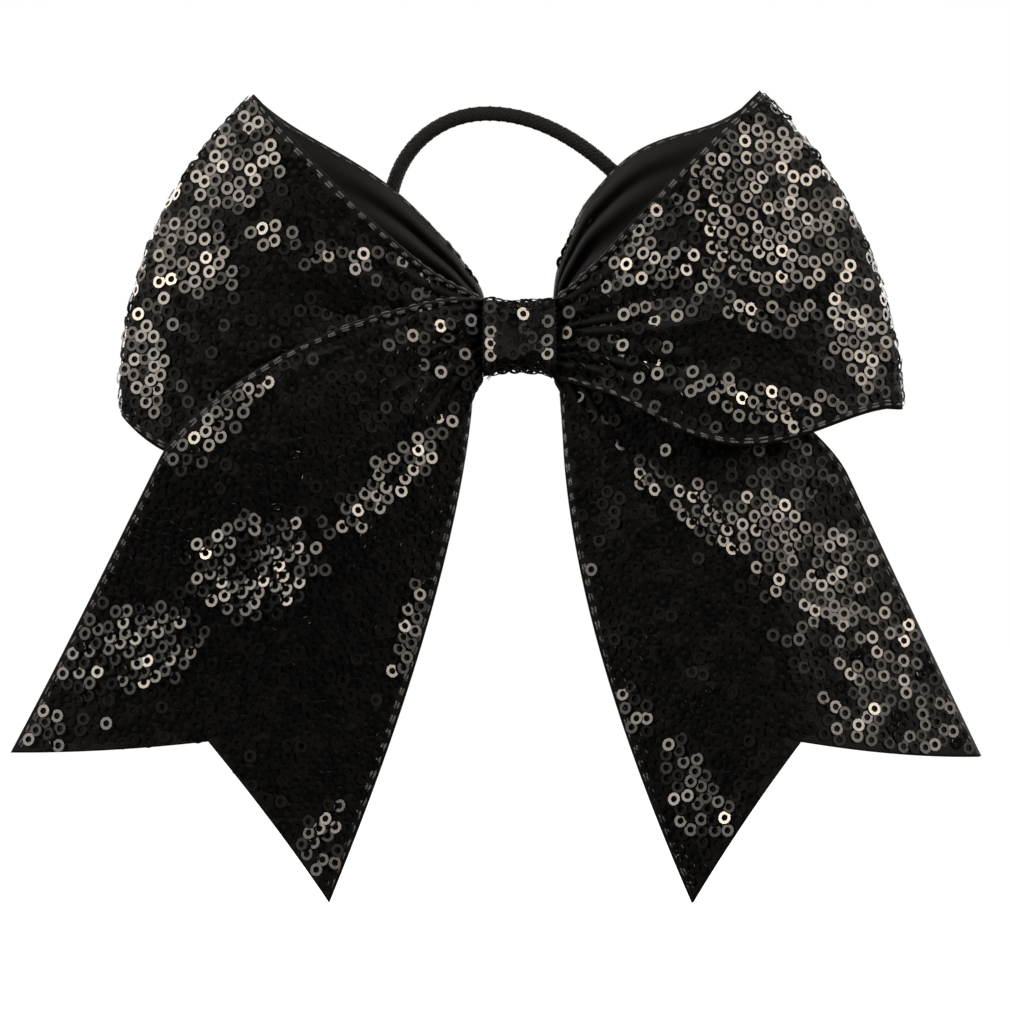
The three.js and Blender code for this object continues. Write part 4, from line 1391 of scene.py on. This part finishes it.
class BOW_OT_stage(bpy.types.Operator):
    """Make the pale floor, the softboxes and the camera"""

    bl_idname = "bow.stage"
    bl_label = "Stage"

    def execute(self, context):
        scene, stage = context.scene, context.scene.bow_stage
        self.background(scene)
        self.floor()
        for softbox in SOFTBOXES:
            self.softbox(scene, stage.light, *softbox)
        self.camera(scene, stage)
        return {"FINISHED"}

    def background(self, scene):
        """White behind the bow, and a dim room for everything that the bow reflects."""
        world = bpy.data.worlds.new("white_studio")
        scene.world = world
        world.use_nodes = True
        tree = world.node_tree
        tree.nodes.clear()
        white = add_node(tree, "ShaderNodeBackground", {"Color": (1, 1, 1, 1), "Strength": 1.0})
        dim = add_node(tree, "ShaderNodeBackground", {"Color": (1, 1, 1, 1), "Strength": ROOM})
        path = add_node(tree, "ShaderNodeLightPath")
        mix = add_node(tree, "ShaderNodeMixShader")
        tree.links.new(path.outputs["Is Camera Ray"], mix.inputs[0])
        tree.links.new(dim.outputs[0], mix.inputs[1])
        tree.links.new(white.outputs[0], mix.inputs[2])
        out = add_node(tree, "ShaderNodeOutputWorld")
        tree.links.new(mix.outputs[0], out.inputs["Surface"])
        scene.view_settings.view_transform = "Standard"
        scene.view_settings.look = "None"

    def floor(self):
        """A seamless white floor under the bow."""
        half, height = FLOOR_HALF, float(CAD_BOX[0].z) - FLOOR_DROP
        mesh = bpy.data.meshes.new("floor")
        mesh.from_pydata([(-half, -half, height), (half, -half, height), (half, half, height),
                          (-half, half, height)], [], [(0, 1, 2, 3)])
        material = bpy.data.materials.new("white_paper")
        material.use_nodes = True
        shader = material.node_tree.nodes["Principled BSDF"]
        shader.inputs["Base Color"].default_value = linear("F4F4F4")
        shader.inputs["Emission Color"].default_value = (1, 1, 1, 1)
        shader.inputs["Emission Strength"].default_value = 1.0
        mesh.materials.append(material)
        floor = bpy.data.objects.new("floor", mesh)
        bpy.context.scene.collection.objects.link(floor)
        floor.visible_glossy = floor.visible_diffuse = False

    def softbox(self, scene, brightness, name, azimuth, elevation, distance, width, height, radiance,
                colour):
        light = bpy.data.lights.new(name, "AREA")
        light.shape, light.size, light.size_y = "RECTANGLE", width, height
        light.energy = radiance * brightness * math.pi * width * height
        light.color = linear(colour)[:3]
        a, e = math.radians(azimuth), math.radians(elevation)
        way = Vector((math.sin(a) * math.cos(e), -math.cos(a) * math.cos(e), math.sin(e)))
        box = bpy.data.objects.new(name, light)
        box.location = Vector((0, MIDDLE_PASS * MM, LIT_HEIGHT)) + way * distance
        box.rotation_mode = "QUATERNION"
        box.rotation_quaternion = (-way).to_track_quat("-Z", "Y")
        box.visible_camera = False
        scene.collection.objects.link(box)

    def camera(self, scene, stage):
        data = bpy.data.cameras.new("camera")
        data.sensor_width = SENSOR_WIDTH
        data.lens = SENSOR_WIDTH * (stage.camera_distance + MIDDLE_PASS * MM) / stage.view_width
        data.clip_start = 0.01
        camera = bpy.data.objects.new("camera", data)
        camera.location = (CAMERA_X, -stage.camera_distance, CAMERA_Z)
        camera.rotation_euler = (math.pi / 2, 0, 0)
        scene.collection.objects.link(camera)
        scene.camera = camera


class BOW_PT_panel(bpy.types.Panel):
    """Lists the bow's settings and makers."""

    bl_idname = "BOW_PT_panel"
    bl_label = "Hair Bow"
    bl_space_type = "VIEW_3D"
    bl_region_type = "UI"
    bl_category = "Hair Bow"

    def draw(self, context):
        for key, group in SETTINGS.items():
            box = self.layout.box()
            for name in group.__annotations__:
                box.prop(getattr(context.scene, key), name)
        for operator in OPERATORS:
            self.layout.operator(operator.bl_idname)


OPERATORS = (BOW_OT_stage, BOW_OT_knot, BOW_OT_gathers, BOW_OT_loops, BOW_OT_tails, BOW_OT_elastic)


def register():
    for cls in (*SETTINGS.values(), *OPERATORS, BOW_PT_panel):
        bpy.utils.register_class(cls)
    for key, group in SETTINGS.items():
        setattr(bpy.types.Scene, key, bpy.props.PointerProperty(type=group))


def unregister():
    for key in SETTINGS:
        delattr(bpy.types.Scene, key)
    for cls in reversed((*SETTINGS.values(), *OPERATORS, BOW_PT_panel)):
        bpy.utils.unregister_class(cls)


def main():
    register()
    bpy.ops.bow.stage()
    bpy.ops.bow.gathers()
    bpy.ops.bow.knot()
    bpy.ops.bow.loops()
    bpy.ops.bow.tails()
    bpy.ops.bow.elastic()


if __name__ == "__main__":
    main()
